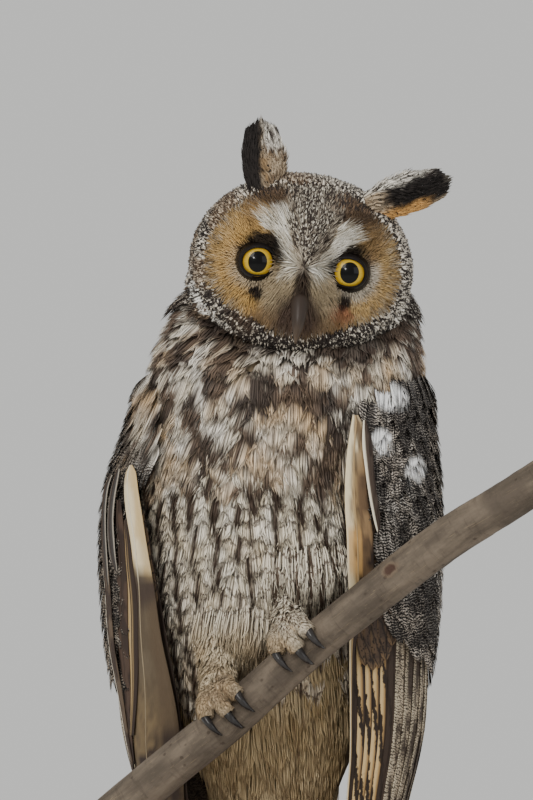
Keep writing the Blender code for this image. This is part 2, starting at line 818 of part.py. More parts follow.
def tail_vane(root, tip, middle, half, lean, back=0.0):
    """One tail feather. Its middle, half width and lean are functions of height."""
    outer, inner = [], []
    for height in stations(root, tip, (60,)):
        share = (root - height) / (root - tip)
        width = half(height) * tail_width(share)
        sides = [(middle(height) + side * width, back - lean(height) * side * width) for side in (-1, 1)]
        outer.append([tail_place(across, height, out) for across, out in sides])
        inner.append([tail_place(across, height, out - VANE / MM) for across, out in sides])
    return slab("vane", outer, inner)


def tail_feathers():
    for side in (-1, 1):
        for k in range(TAIL_PAIRS):
            yield tail_vane(
                96,
                TAIL_TIPS[k],
                lambda height: side * (k + 1.5) * tail_spacing(height),
                lambda height: 1.4 * tail_spacing(height),
                lambda height: side * TAIL_STEP / tail_spacing(height),
            )
    for tip, across, back in TAIL_CENTRE:
        yield tail_vane(
            96,
            tip,
            lambda height: across * tail_spacing(height) / tail_spacing(28),
            lambda height: TAIL_CENTRE_HALF * tail_spacing(height) / tail_spacing(28),
            lambda height: 0.0,
            back,
        )
    for tip, back, half, lean in TAIL_COVERTS:
        for k in range(5):
            across = 4.5 * (k - 2)
            shorter = abs(k - 2) * 2
            yield tail_vane(100, tip + shorter, lambda height: across, lambda height: half, lambda height: lean, back)


def make_tail():
    """A folded tail: six pairs of feathers, the middle pair on top, and coverts over and under their roots."""
    rings = []
    for height in (86, 92, 104, 116):
        ring = []
        for k in range(12):
            turn = 2 * math.pi * k / 12
            wide, deep = (9, 3) if height == 86 else (13.5, 5.5)
            ring.append(tail_place(wide * math.cos(turn), height, 0.8 + deep * math.sin(turn)))
        rings.append(ring)
    tail = fuse("tail", [loft("core", rings), *tail_feathers()])
    cut(tail, torso_room())
    return finish(tail, "tail", "feather_tail")


# Feet: where along the perch each stands, in millimetres of x
FOOT_X = {"right": -25, "left": 3}
TOE_RADIUS = 3.9 * MM
# Toes: name, shift along the perch at the root and the end in millimetres, start and end angle in degrees
TOES = (
    ("inner", 3.5, 8, 84, 12),
    ("middle", 0, 0, 84, -2),
    ("outer", -3.5, -8.5, 84, 22),
    ("hind", 0, 1, 96, 172),
)
TOE_TAPER = 0.72
# A claw's sweep round the perch in degrees, and how far its root begins inside the toe
CLAW_TURN = 56
CLAW_SUNK = 4
CLAW_RADIUS = 2.0 * MM
CLAW_TIP_RADIUS = 0.25 * MM
CLAW_BOW = 1.2 * MM
# The foot's pad: how far it reaches below and above the ankle
PAD_BELOW = 2 * MM
PAD_ABOVE = 5 * MM


def toe_point(foot_x, angle, shift, lift):
    """A point at a height above the perch's bark, at an angle round it from its front."""
    middle, along, front, up = perch_frame(foot_x)
    radius = perch_read(foot_x)[1] + lift
    turn = math.radians(angle)
    return middle + radius * (math.cos(turn) * front + math.sin(turn) * up) + shift * along


def ankle(which):
    """Where the foot ends and the leg begins, and the way from one to the other."""
    start = toe_point(FOOT_X[which] * MM, 90, 0, TOE_RADIUS)
    return start, Vector((0.05, 0.62, 0.78)).normalized()


def toe_solid(which, toe, out=0.0):
    """One toe, curled round the perch from the top of the foot."""
    _, shift_root, shift_end, begin, end = toe
    foot_x = FOOT_X[which] * MM
    shares = [k / 5 for k in range(6)]
    radii = [mix(1, TOE_TAPER, t) * TOE_RADIUS for t in shares]
    path = []
    for t, radius in zip(shares, radii):
        shift = mix(shift_root, shift_end, t) * MM
        path.append(toe_point(foot_x, mix(begin, end, t), shift, radius + GAP))
    path[-1] += out * (path[-1] - path[-2]).normalized()
    return tube("toe", path, [r + out for r in radii], sides=8, up=perch_frame(foot_x)[1])


def claw_solid(which, toe, out=0.0):
    """A curved claw that carries on from the end of a toe, round the perch."""
    label, _, shift_end, begin, end = toe
    foot_x = FOOT_X[which] * MM
    turn = -1 if begin > end else 1
    toe_radius = TOE_RADIUS * TOE_TAPER
    start = end - turn * CLAW_SUNK
    shares = [k / 5 for k in range(6)]
    radii = [mix(CLAW_RADIUS, CLAW_TIP_RADIUS, t**1.3) for t in shares]
    path = []
    for t, radius in zip(shares, radii):
        bow = CLAW_BOW * math.sin(math.pi * t)
        lift = toe_radius + GAP + bow - t * (toe_radius - radius)
        path.append(toe_point(foot_x, start + turn * CLAW_TURN * t, shift_end * MM, lift))
    name = f"claw_{which}_{label}"
    claw = tube(name, path, [r + out for r in radii], sides=6, up=perch_frame(foot_x)[1])
    return claw if out else cut(claw, toe_solid(which, toe, GAP))


def pad_solid(which, out=0.0):
    start, way = ankle(which)
    ends = [start - way * (PAD_BELOW + out), start + way * (PAD_ABOVE + out)]
    return tube("pad", ends, [6.2 * MM + out, 6.0 * MM + out], sides=12, up=Vector((1, 0, 0)))


def make_foot(which):
    foot = fuse("foot_" + which, [pad_solid(which), *[toe_solid(which, toe) for toe in TOES]])
    cut(foot, perch_solid("perch_room", out=GAP))
    finish(foot, "foot_" + which, "feather_leg")
    for toe in TOES:
        claw = claw_solid(which, toe)
        finish(claw, claw.name, "claw")


def make_leg(which):
    start, way = ankle(which)
    begin = start + way * (PAD_ABOVE + GAP)
    path = [begin, begin + way * 6 * MM, begin + way * 14 * MM, begin + way * 24 * MM]
    leg = tube("leg_" + which, path, [6.4 * MM, 7.5 * MM, 9.5 * MM, 11 * MM], sides=14, up=Vector((1, 0, 0)))
    cut(leg, torso_room(), *[toe_solid(which, toe, GAP) for toe in TOES])
    return finish(leg, "leg_" + which, "feather_leg")


def make_perch():
    return finish(perch_solid("perch"), "perch", "bark")


def make_stand():
    corners = []
    for k, (sx, sy) in enumerate(((1, 1), (-1, 1), (-1, -1), (1, -1))):
        middle = Vector((sx * (BASE_SIZE.x / 2 - BASE_CORNER), sy * (BASE_SIZE.y / 2 - BASE_CORNER), 0))
        for j in range(6):
            turn = math.pi / 2 * (k + j / 5)
            corners.append(middle + BASE_CORNER * Vector((math.cos(turn), math.sin(turn), 0)))
    inner = [Vector((p.x * (1 - BASE_EDGE / (BASE_SIZE.x / 2)), p.y * (1 - BASE_EDGE / (BASE_SIZE.y / 2)), 0)) for p in corners]
    levels = ((inner, 0.0), (corners, BASE_EDGE / 2), (corners, BASE_SIZE.z - BASE_EDGE), (inner, BASE_SIZE.z))
    base = loft("stand_base", [[p + Vector((0, 0, z)) for p in ring] for ring, z in levels])
    finish(base, "stand_base", "base_wood", sharp=30)
    for name, x in zip(("stand_rod_short", "stand_rod_tall"), ROD_X):
        middle = perch_frame(x)[0]
        foot = Vector((middle.x, middle.y, BASE_SIZE.z + GAP))
        rod = tube(name, [foot, Vector((middle.x, middle.y, middle.z))], [ROD_RADIUS] * 2, sides=20, up=Vector((0, 1, 0)))
        cut(rod, perch_solid("perch_room", out=GAP))
        finish(rod, name, "rod_metal")


def main():
    for obj in list(bpy.data.objects):
        bpy.data.objects.remove(obj)
    make_stand()
    make_perch()
    make_torso()
    make_neck()
    make_head()
    make_bill()
    for side, which in ((-1, "right"), (1, "left")):
        make_eye(side, "eye_" + which)
        make_tuft("ear_tuft_" + which)
        make_wing(side, "wing_" + which)
        make_foot(which)
        make_leg(which)
    make_tail()


main()
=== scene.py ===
"""The looks of a long-eared owl at life size, on a cut length of branch that a display stand holds.

Every length is in millimetres until a mesh is made, and every colour is written as sRGB.
"""

import itertools
import math

import bmesh
import bpy
import numpy as np
from mathutils import Matrix, Vector


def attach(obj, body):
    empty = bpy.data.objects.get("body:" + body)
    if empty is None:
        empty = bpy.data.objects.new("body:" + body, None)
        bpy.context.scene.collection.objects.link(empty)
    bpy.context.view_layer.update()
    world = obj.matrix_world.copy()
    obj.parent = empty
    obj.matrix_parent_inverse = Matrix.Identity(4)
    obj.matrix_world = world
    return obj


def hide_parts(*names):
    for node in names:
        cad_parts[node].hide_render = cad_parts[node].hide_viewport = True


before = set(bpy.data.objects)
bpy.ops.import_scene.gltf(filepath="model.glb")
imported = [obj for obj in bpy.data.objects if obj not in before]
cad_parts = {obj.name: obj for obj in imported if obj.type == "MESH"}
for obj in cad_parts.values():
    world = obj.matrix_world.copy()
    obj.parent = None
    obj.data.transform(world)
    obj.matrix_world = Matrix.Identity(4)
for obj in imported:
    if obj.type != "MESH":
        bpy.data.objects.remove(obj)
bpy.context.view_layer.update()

MM = 0.001
BODY_YAW = math.radians(-15)
FULL_TURN = 2 * math.pi

# Body under the wings: height, middle x, middle y, half width, depth in front, depth behind
BODY_ROWS = (
    (98, -10, 42, 9, 5, 5), (104, -10, 41, 18, 10, 9), (130, -11, 36, 35, 21, 17), (160, -12, 30, 45, 28, 23),
    (190, -12.5, 24, 52, 36, 29), (220, -11.5, 18, 55, 44.5, 33.5), (250, -10.5, 14, 57, 48.5, 38),
    (275, -7, 12, 57, 49, 40), (297, -4.8, 10, 56.6, 46, 41), (307, -3.7, 9, 53.8, 36, 40),
    (318, -2.4, 8, 49, 29, 37), (330, 0, 6, 38, 24, 33),
)
# Sheet of folded wing feathers round the body, in the same columns
WING_ROWS = (
    (22, -5.5, 49, 29, 12, 12), (50, -6.5, 46, 34.5, 16, 16), (80, -7.8, 42, 43, 21, 21),
    (100, -9, 39, 49.2, 24, 24), (120, -10.2, 35, 56.2, 28, 28), (140, -10.6, 31, 62.3, 31, 31),
    (160, -11, 26, 66.3, 34, 34), (180, -12, 21, 69.2, 36, 38), (200, -11.8, 17, 70.7, 40, 43),
    (220, -12, 14, 71.2, 45.5, 48), (250, -10.5, 13, 69, 52, 52), (270, -8, 12, 64.5, 50, 50),
    (290, -6, 11, 61, 46.5, 46.5), (304, -4.5, 10, 54.5, 42, 42),
)

# Head, in its own frame: x to the owl's left, y backwards, z up, from the point between the eyes
HEAD_MIDDLE = (0.3, -11.0, 333.0)
HEAD_ROLL, HEAD_PITCH, HEAD_YAW = math.radians(6.9), math.radians(0.5), math.radians(2.0)
HEAD_HALF_WIDTH, HEAD_ABOVE, HEAD_BELOW, HEAD_FRONT, HEAD_BACK = 42.5, 35.5, 34.0, 33.0, 41.0
HEAD_SPREAD, FACE_FLATNESS = 0.9, 0.62
EYE_X, EYE_RADIUS, EYE_DEPTH = 18.4, 8.8, 23.0

PERCH_ROWS = (
    (-90, 101.5, 8.9), (-66, 121.5, 9.0), (-46, 138, 9.0), (-30, 151, 8.9), (-14, 165.5, 8.6), (2, 180, 8.5),
    (20, 194.8, 8.5), (37, 208.5, 8.6), (57, 224, 8.8), (82, 240, 8.5), (106, 255, 8.4),
)
PERCH_DEPTH, PERCH_DEPTH_SLOPE = -26.0, -0.36
# A knot of the perch: how far along, and its turn up from the front
KNOT = (40.0, 0.3)
# Radius of the even tube on which the bark's pattern is drawn
BARK_RADIUS = 10


def mix(a, b, share):
    return a + (b - a) * share


def smoothstep(low, high, value):
    t = np.clip((np.asarray(value, float) - low) / (high - low), 0.0, 1.0)
    return t * t * (3 - 2 * t)


def stacked(*values):
    """Numbers or arrays as the columns of a new last axis."""
    return np.stack(np.broadcast_arrays(*values), -1)


def table(rows):
    """Straight steps between the values of a table, whose first column is where each is."""
    at, values = zip(*rows)
    return lambda place: np.interp(place, at, values)


def unit(vectors):
    return vectors / np.maximum(np.linalg.norm(vectors, axis=-1, keepdims=True), 1e-12)


def linear(*rgb):
    """An sRGB colour of 0 to 255 as linear numbers."""
    share = np.array(rgb, float) / 255
    return np.where(share <= 0.04045, share / 12.92, ((share + 0.055) / 1.055) ** 2.4)


def painted(base, *layers):
    """A colour with others over it, each by a share. A tuple is sRGB, an array is linear."""
    base = linear(*base) if isinstance(base, tuple) else base
    for share, colour in layers:
        colour = linear(*colour) if isinstance(colour, tuple) else colour
        base = mix(base, colour, np.asarray(share, float)[..., None])
    return base


def turns(count, shift=0.0):
    """Evenly spaced angles of a full turn."""
    return (np.arange(count) + shift) / count * FULL_TURN


def hashed(cells, seed):
    """A number from 0 to 1 for each whole cell, the same on every run."""
    x, y, z = np.moveaxis(cells, -1, 0)
    mask = 0xFFFFFFFF
    h = (x * 374761393 + y * 668265263 + z * 362437 + seed * 974634777) & mask
    h = ((h ^ (h >> 13)) * 1274126177) & mask
    return ((h ^ (h >> 16)) & 0xFFFF) / 65535


def noise(points, size, seed=0):
    """Smooth noise from 0 to 1, with lumps of a size in millimetres."""
    places = np.asarray(points, float) / size
    cell = np.floor(places).astype(np.int64)
    part = places - cell
    part = part * part * (3 - 2 * part)
    total = 0.0
    for corner in itertools.product((0, 1), repeat=3):
        weight = np.prod(np.where(corner, part, 1 - part), axis=-1)
        total = total + weight * hashed(cell + np.array(corner), seed)
    return total


def smooth_rows(rows):
    """A smooth function through the rows of a table, whose first column is where each row is."""
    grid = np.array(rows, float)
    at, values = grid[:, 0], grid[:, 1:]
    slopes = np.gradient(values, at, axis=0)

    def read(place):
        place = np.clip(place, at[0], at[-1])
        k = np.clip(np.searchsorted(at, place, side="right") - 1, 0, len(at) - 2)
        span = (at[k + 1] - at[k])[..., None]
        t = (place - at[k])[..., None] / span
        rise = values[k] * (1 + 2 * t) * (1 - t) ** 2 + values[k + 1] * t * t * (3 - 2 * t)
        return rise + span * (slopes[k] * t * (1 - t) ** 2 - slopes[k + 1] * t * t * (1 - t))

    return read


class Sheet:
    """A surface that feathers lie on: points by two parameters, and the place of each on a flat layout."""

    def __init__(self, point, steps, unwrap, facing=1):
        self.point, self.steps, self.unwrap, self.facing = point, steps, unwrap, facing

    def axes(self, u, v):
        su, sv = self.steps
        along_u = (self.point(u + su, v) - self.point(u - su, v)) / (2 * su)
        along_v = (self.point(u, v + sv) - self.point(u, v - sv)) / (2 * sv)
        return along_u, along_v, self.facing * unit(np.cross(along_u, along_v))

    def lay(self, u, v, heading, x, y, out):
        """Points on the sheet: x across and y along a heading from a root, and out above the sheet."""
        along_u, along_v, normal = self.axes(u, v)
        ahead = unit(heading - np.sum(heading * normal, -1, keepdims=True) * normal)
        across = np.cross(ahead, normal)
        way = across[:, None] * x[..., None] + ahead[:, None] * y[..., None]
        pairs = itertools.combinations_with_replacement((along_u, along_v), 2)
        uu, uv, vv = (np.sum(a * b, -1)[:, None] for a, b in pairs)
        wu = np.sum(way * along_u[:, None], -1)
        wv = np.sum(way * along_v[:, None], -1)
        scale = np.maximum(uu * vv - uv * uv, 1e-9)
        new_u = u[:, None] + (wu * vv - wv * uv) / scale
        new_v = v[:, None] + (wv * uu - wu * uv) / scale
        _, _, normals = self.axes(new_u, new_v)
        return self.point(new_u, new_v) + normals * out[..., None]


def turned(x, y):
    """A vector across the body, turned by the body's yaw."""
    c, s = math.cos(BODY_YAW), math.sin(BODY_YAW)
    return c * x - s * y, s * x + c * y


def round_point(rows):
    read = smooth_rows(rows)

    def point(angle, height, out=0.0):
        angle, height, out = np.broadcast_arrays(angle, height, out)
        x, y, half, front, back = np.moveaxis(read(height), -1, 0)
        depth = np.where(np.cos(angle) > 0, front, back)
        across, away = turned(np.sin(angle) * (half + out), -np.cos(angle) * (depth + out))
        return stacked(x + across, y + away, height)

    return point


body_point = round_point(BODY_ROWS)
body_read = smooth_rows(BODY_ROWS)
wing_surface = round_point(WING_ROWS)
perch_read = smooth_rows(PERCH_ROWS)

HEAD_FRAME = (
    Matrix.Translation(HEAD_MIDDLE)
    @ Matrix.Rotation(HEAD_YAW, 4, "Z")
    @ Matrix.Rotation(HEAD_ROLL, 4, "Y")
    @ Matrix.Rotation(HEAD_PITCH, 4, "X")
)
HEAD_TURN = np.array(HEAD_FRAME.to_3x3())


def from_head(points):
    return np.asarray(points, float) @ HEAD_TURN.T + np.array(HEAD_MIDDLE)


def to_head(points):
    return (np.asarray(points, float) - np.array(HEAD_MIDDLE)) @ HEAD_TURN


def face_relief(x, z):
    """How far the face stands forward of the plain head at a place in front of it."""
    x = np.abs(x)
    from_eye = np.hypot(x - 19, z)
    dish = -5.0 * np.maximum(0.0, 1 - (from_eye / 21) ** 2) ** 1.5
    ridge = 6.5 * np.exp(-((x / 6.5) ** 2)) * smoothstep(34, 16, z) * smoothstep(-34, -22, z)
    return dish + ridge


def out_share(x, z):
    """How far out from the head's middle a place is, seen from the front: 1 at its outline."""
    return np.hypot(x / HEAD_HALF_WIDTH, z / np.where(z > 0, HEAD_ABOVE, HEAD_BELOW))


def face_point(x, z):
    """A point of the front of the head, by where it is across the face and up it."""
    away = np.minimum(out_share(x, z), 0.995) ** (1 / HEAD_SPREAD)
    return from_head(stacked(x, -HEAD_FRONT * np.sqrt(1 - away**2) ** FACE_FLATNESS - face_relief(x, z), z))


def nape_point(x, z):
    """A point of the back of the head, by where it is across it and up it."""
    away = np.minimum(out_share(x, z), 0.999) ** (1 / HEAD_SPREAD)
    return from_head(stacked(x, HEAD_BACK * np.sqrt(1 - away**2), z))


def shell_point(polar, turn):
    """A point of the head: polar 0 faces ahead, pi back, and turn 0 is to the owl's left."""
    polar, turn = np.broadcast_arrays(polar, turn)
    ahead, spread = np.cos(polar), np.sin(polar) ** HEAD_SPREAD
    rise = np.where(np.sin(turn) > 0, HEAD_ABOVE, HEAD_BELOW)
    x, z = HEAD_HALF_WIDTH * spread * np.cos(turn), rise * spread * np.sin(turn)
    front = -HEAD_FRONT * np.maximum(ahead, 0) ** FACE_FLATNESS - face_relief(x, z)
    return from_head(stacked(x, np.where(ahead > 0, front, -HEAD_BACK * ahead), z))


MAP_EDGE = 0.02


def inside_map(u, v):
    """A place of the flat layout from two shares, a little inside its edges."""
    return mix(MAP_EDGE, 1 - MAP_EDGE, np.clip(stacked(u, v), 0, 1))


def head_map(x, z):
    return inside_map((x + 45) / 90, (z + 40) / 80)


def turn_map(turn, share):
    return inside_map((turn + math.pi) / FULL_TURN, share)


def shell_map(polar, turn):
    return inside_map(0.5 + polar * np.cos(turn) / FULL_TURN, 0.5 + polar * np.sin(turn) / FULL_TURN)


body_sheet = Sheet(body_point, (1e-3, 0.1), lambda angle, height: turn_map(angle, (height - 98) / 232))
face_sheet = Sheet(face_point, (0.05, 0.05), head_map)
nape_sheet = Sheet(nape_point, (0.05, 0.05), head_map, facing=-1)
shell_sheet = Sheet(shell_point, (1e-3, 1e-3), shell_map)


class Coat:
    """Feathers gathered into one piece, with what their material reads at each of their points."""

    def __init__(self):
        self.parts = []
        self.count = 0

    def add(self, feathers, ground, ink, marks):
        """Takes Fans or Vanes. ground, ink and marks are one value, one row a feather, or one row a point."""
        many, corners = feathers.points.shape[:2]
        shifts = self.count + corners * np.arange(many)[:, None, None]
        triangles = (feathers.triangles + shifts).reshape(-1, 3)
        part = {"points": feathers.points.reshape(-1, 3), "triangles": triangles}
        read = {"patch": feathers.patch, "vane": feathers.vane, "grain": feathers.grain}
        for key, value in {**read, "marks": marks, "ground": ground, "ink": ink}.items():
            value = np.asarray(value, float)
            value = value[:, None] if value.ndim == 2 else value
            part[key] = np.broadcast_to(value, (many, corners, value.shape[-1])).reshape(-1, value.shape[-1])
        self.parts.append(part)
        self.count += many * corners

    def piece(self, name, material):
        joined = {key: np.concatenate([part[key] for part in self.parts]) for key in self.parts[0]}
        obj = mesh_piece(name, joined["points"], joined["triangles"], material)
        for key in ("vane", "grain", "marks"):
            carry(obj, key, joined[key])
        for key in ("ground", "ink"):
            carry(obj, key, with_alpha(joined[key]))
        layer = obj.data.uv_layers.new(name="OFBake")
        corners = joined["patch"][joined["triangles"].ravel()]
        layer.uv.foreach_set("vector", corners.astype(np.float32).ravel())
        return obj


def with_alpha(colours):
    return np.concatenate([colours, np.ones((len(colours), 1))], 1)


def carry(obj, key, values):
    """Gives each point of a piece a vector, or a colour of four numbers, for its material to read."""
    values = np.asarray(values, np.float32)
    kind, field = {3: ("FLOAT_VECTOR", "vector"), 4: ("FLOAT_COLOR", "color")}[values.shape[-1]]
    layer = obj.data.attributes.new(key, kind, "POINT")
    layer.data.foreach_set(field, values.ravel())


def mesh_piece(name, points, faces, material):
    """A smooth piece from points in millimetres and an array of triangles or a list of faces."""
    mesh = bpy.data.meshes.new(name)
    places = np.asarray(points) * MM
    if isinstance(faces, np.ndarray):
        mesh.vertices.add(len(places))
        mesh.vertices.foreach_set("co", places.astype(np.float32).ravel())
        mesh.loops.add(faces.size)
        mesh.loops.foreach_set("vertex_index", faces.astype(np.int32).ravel())
        mesh.polygons.add(len(faces))
        mesh.polygons.foreach_set("loop_start", np.arange(0, faces.size, 3, dtype=np.int32))
        mesh.update(calc_edges=True)
    else:
        mesh.from_pydata(places.tolist(), [], faces)
    mesh.validate()
    mesh.shade_smooth()
    mesh.materials.append(material)
    obj = bpy.data.objects.new(name, mesh)
    bpy.context.scene.collection.objects.link(obj)
    return obj


def strip_triangles(stations):
    """Triangles of one lock: left, ridge and right points at each station, then its tip."""
    faces = [(0, 1, 2)]
    for j in range(stations - 2):
        a, b = 3 * j, 3 * j + 3
        for p, q in ((0, 1), (1, 2), (2, 0)):
            faces += [(a + p, b + p, b + q), (a + p, b + q, a + q)]
    last, tip = 3 * (stations - 2), 3 * (stations - 1)
    faces += [(last, tip, last + 1), (last + 1, tip, last + 2), (last + 2, tip, last)]
    return np.array(faces)


SPREAD = table(((0, 0.3), (0.3, 0.8), (0.6, 1.0), (0.85, 0.9), (1, 0.62)))
LOCK_WIDTH = table(((0, 0.75), (0.45, 1.0), (0.88, 0.8), (1, 0.0)))
ROUND_TIP, LIFT_POWER = 0.3, 1.2
# Side of a feather's own patch in the flat layout
PATCH_SIZE = 0.003


class Fans:
    """Feathers made of locks that fan out from one root, laid on a sheet."""

    def __init__(self, sheet, u, v, heading, length, half, rng, locks=9, stations=(0, 0.4, 0.75, 1),
                 depth=(-5, 0), ragged=0.08, splay=0.1, full=1.7, ridge=0.35, loft=0.5, droop=0.12):
        n, k = len(u), locks
        s = np.array(stations, float)
        length, half = (np.broadcast_to(a, n).astype(float) for a in (length, half))
        width = half[:, None, None]
        c = np.linspace(-1, 1, k)[None] + rng.uniform(-0.6, 0.6, (n, k)) / k
        reach = 1 - ROUND_TIP * c**2 + rng.uniform(-ragged, ragged, (n, k))
        y = length[:, None, None] * reach[..., None] * s
        x = width * (c[..., None] * SPREAD(s) + splay * rng.normal(0, 1, (n, k))[..., None] * s**2)
        wide = width / k * full * LOCK_WIDTH(s) * np.ones((n, k, 1))
        lift = mix(depth[0], depth[1], s**LIFT_POWER) + loft * rng.uniform(0, 1, (n, k))[..., None] * s
        lift = lift + loft * rng.uniform(-0.5, 0.5, (n, 1, 1)) - droop * width * c[..., None] ** 2
        corners_x = stacked(x - wide, x, x + wide)
        corners_z = stacked(lift, lift + ridge * wide, lift)
        corners_y = np.repeat(y[..., None], 3, -1)

        def flat(a):
            ends = a[:, :, -1, 1][..., None]
            return np.concatenate([a[:, :, :-1].reshape(n, k, -1), ends], -1).reshape(n, -1)

        x, y, out = flat(corners_x), flat(corners_y), flat(corners_z)
        per = 3 * (len(s) - 1) + 1
        self.points = sheet.lay(u, v, heading, x, y, out)
        self.roots = sheet.point(u, v)
        lock = strip_triangles(len(s))
        self.triangles = np.concatenate([lock + per * i for i in range(k)])
        chance = rng.uniform(0, 1, (n, 1))
        across, along = x / half[:, None], y / length[:, None]
        self.vane = stacked(across, along, chance)
        self.grain = stacked(x, y, 50 * chance)
        self.patch = sheet.unwrap(u, v)[:, None] + PATCH_SIZE * stacked(across / 2, along - 0.5)


class Shader:
    """A material's nodes, written as one expression after another."""

    def __init__(self, name, **settings):
        self.material = bpy.data.materials.new(name)
        self.material.use_nodes = True
        self.tree = self.material.node_tree
        self.main = self.tree.nodes["Principled BSDF"]
        for key, value in settings.items():
            self.main.inputs[key.replace("_", " ")].default_value = value

    def node(self, kind, inputs=(), **settings):
        made = self.tree.nodes.new("ShaderNode" + kind)
        for key, value in settings.items():
            setattr(made, key, value)
        for key, value in dict(inputs).items():
            self.feed(made.inputs[key], value)
        return made

    def feed(self, socket, value):
        if isinstance(value, bpy.types.NodeSocket):
            self.tree.links.new(value, socket)
        elif isinstance(value, (tuple, list, np.ndarray)) and len(value) == 3 and socket.type == "RGBA":
            socket.default_value = (*[float(v) for v in value], 1)
        else:
            socket.default_value = value

    def math(self, operation, *values):
        return self.node("Math", enumerate(values), operation=operation).outputs[0]

    def step(self, low, high, value):
        inputs = {"Value": value, "From Min": low, "From Max": high}
        return self.node("MapRange", inputs, interpolation_type="SMOOTHSTEP").outputs[0]

    def attribute(self, name, kind="Vector"):
        return self.node("Attribute", attribute_name=name).outputs[kind]

    def split(self, vector):
        return self.node("SeparateXYZ", {0: vector}).outputs

    def scaled(self, vector, scale):
        return self.node("Mapping", {"Vector": vector, "Scale": scale}).outputs[0]

    def noise(self, vector, scale, detail=2.0, rough=0.5, distort=0.0):
        inputs = {"Vector": self.scaled(vector, scale), "Scale": 1.0, "Detail": detail, "Roughness": rough}
        return self.node("TexNoise", {**inputs, "Distortion": distort}).outputs[0]

    def place(self):
        """Where a point is on its object, in metres."""
        return self.node("TexCoord").outputs["Object"]

    def cover(self, base, colour, most, share):
        """An sRGB colour over a base, by a share that counts up to the most it may."""
        return self.blend(self.math("MULTIPLY", share, most), base, linear(*colour))

    def blend(self, share, first, second, way="MIX"):
        made = self.node("Mix", data_type="RGBA", blend_type=way)
        for socket, value in zip((made.inputs[0], made.inputs[6], made.inputs[7]), (share, first, second)):
            self.feed(socket, value)
        return made.outputs[2]

    def grey(self, value):
        return self.node("CombineColor", {0: value, 1: value, 2: value}).outputs[0]

    def colour(self, value):
        self.feed(self.main.inputs["Base Color"], value)

    def bump(self, height, distance):
        made = self.node("Bump", {"Height": height, "Distance": distance, "Strength": 1.0})
        self.tree.links.new(made.outputs[0], self.main.inputs["Normal"])


def feather_material(name, roughness=0.85, streaks=0.3, barb=5.0, bars=4.0, edge=0.5, speck=(1.1, 0.8),
                     bump=0.00012, slant=0.5, drift=1.0, rag=1.1, soft=1.0, per_mm=False):
    """Feathers coloured by what each point carries, with shaft streak, cross bars, specks and fine barbs.

    bars is how many waves a feather has, or how many a millimetre.
    """
    s = Shader(name, Roughness=roughness, Specular_IOR_Level=0.25)
    across, along, chance = s.split(s.attribute("vane"))
    grain = s.attribute("grain")
    streak, bar, specks = s.split(s.attribute("marks"))
    side = s.math("ABSOLUTE", across)
    ragged = s.math("SUBTRACT", s.noise(grain, (0.55, 0.3, 1), 4.0, 0.6), 0.5)
    widening = s.math("MULTIPLY_ADD", s.step(0.25, 0.95, along), 0.4, 0.6)
    reach = s.math("MULTIPLY", streak, widening)
    gap = s.math("ADD", s.math("SUBTRACT", reach, side), s.math("MULTIPLY", ragged, edge))
    streaked = s.math("MULTIPLY", s.step(-0.1 * soft, 0.1 * soft, gap), s.step(0.02, 0.12, streak))
    run = s.split(grain)[1] if per_mm else along
    phase = s.math("ADD", s.math("MULTIPLY", run, bars), s.math("MULTIPLY", side, slant))
    phase = s.math("ADD", phase, s.math("MULTIPLY", chance, drift))
    phase = s.math("ADD", phase, s.math("MULTIPLY", ragged, rag))
    wave = s.math("MULTIPLY_ADD", s.math("SINE", s.math("MULTIPLY", phase, 6.2832)), 0.5, 0.5)
    level = s.math("MULTIPLY_ADD", bar, -0.55, 1.0)
    over = s.math("SUBTRACT", wave, level)
    barred = s.math("MULTIPLY", s.step(-0.09 * soft, 0.09 * soft, over), s.step(0.02, 0.1, bar))
    dots = s.noise(grain, (speck[0], speck[1], 1), 2.0, 0.6)
    level = s.math("MULTIPLY_ADD", specks, -0.3, 0.68)
    above = s.step(-0.03, 0.04, s.math("SUBTRACT", dots, level))
    specked = s.math("MULTIPLY", above, s.step(0.02, 0.1, specks))
    inked = s.math("MAXIMUM", s.math("MAXIMUM", streaked, barred), specked)
    colour = s.blend(inked, s.attribute("ground", "Color"), s.attribute("ink", "Color"))
    hairs = s.noise(grain, (barb, 0.35, 1), 2.0, 0.6)
    light = s.math("MULTIPLY_ADD", s.math("SUBTRACT", hairs, 0.5), 2 * streaks, 1.0)
    s.colour(s.blend(1.0, colour, s.grey(light), "MULTIPLY"))
    s.bump(hairs, bump)
    return s.material


CREAM, BUFF, DARK = linear(214, 201, 178), linear(196, 156, 104), linear(58, 47, 40)
GREY_BROWN, BROWN = linear(138, 124, 108), linear(104, 82, 60)

# Degrees from the body's front to a folded wing's leading and trailing edges, by height
LEADING = {
    1: ((22, 78), (60, 60), (100, 46), (140, 42), (200, 41), (250, 43), (304, 55)),
    -1: ((22, 74), (60, 52), (100, 35), (140, 27), (200, 31), (250, 40), (304, 52)),
}
TRAILING = ((22, 104), (60, 122), (100, 138), (140, 148), (200, 152), (250, 152), (304, 140))
# The right wing shows a wider sheet than the left one
WING_SPREAD = {1: 1.0, -1: 1.1}


def angle_rows(rows):
    read = smooth_rows(rows)
    return lambda height: np.radians(read(np.asarray(height, float))[..., 0])


leading_edge = {side: angle_rows(rows) for side, rows in LEADING.items()}
trailing_edge = angle_rows(TRAILING)

SCRAPS = (-40, 160, 1.0)
LEVELS = (16, 306, 2.0)


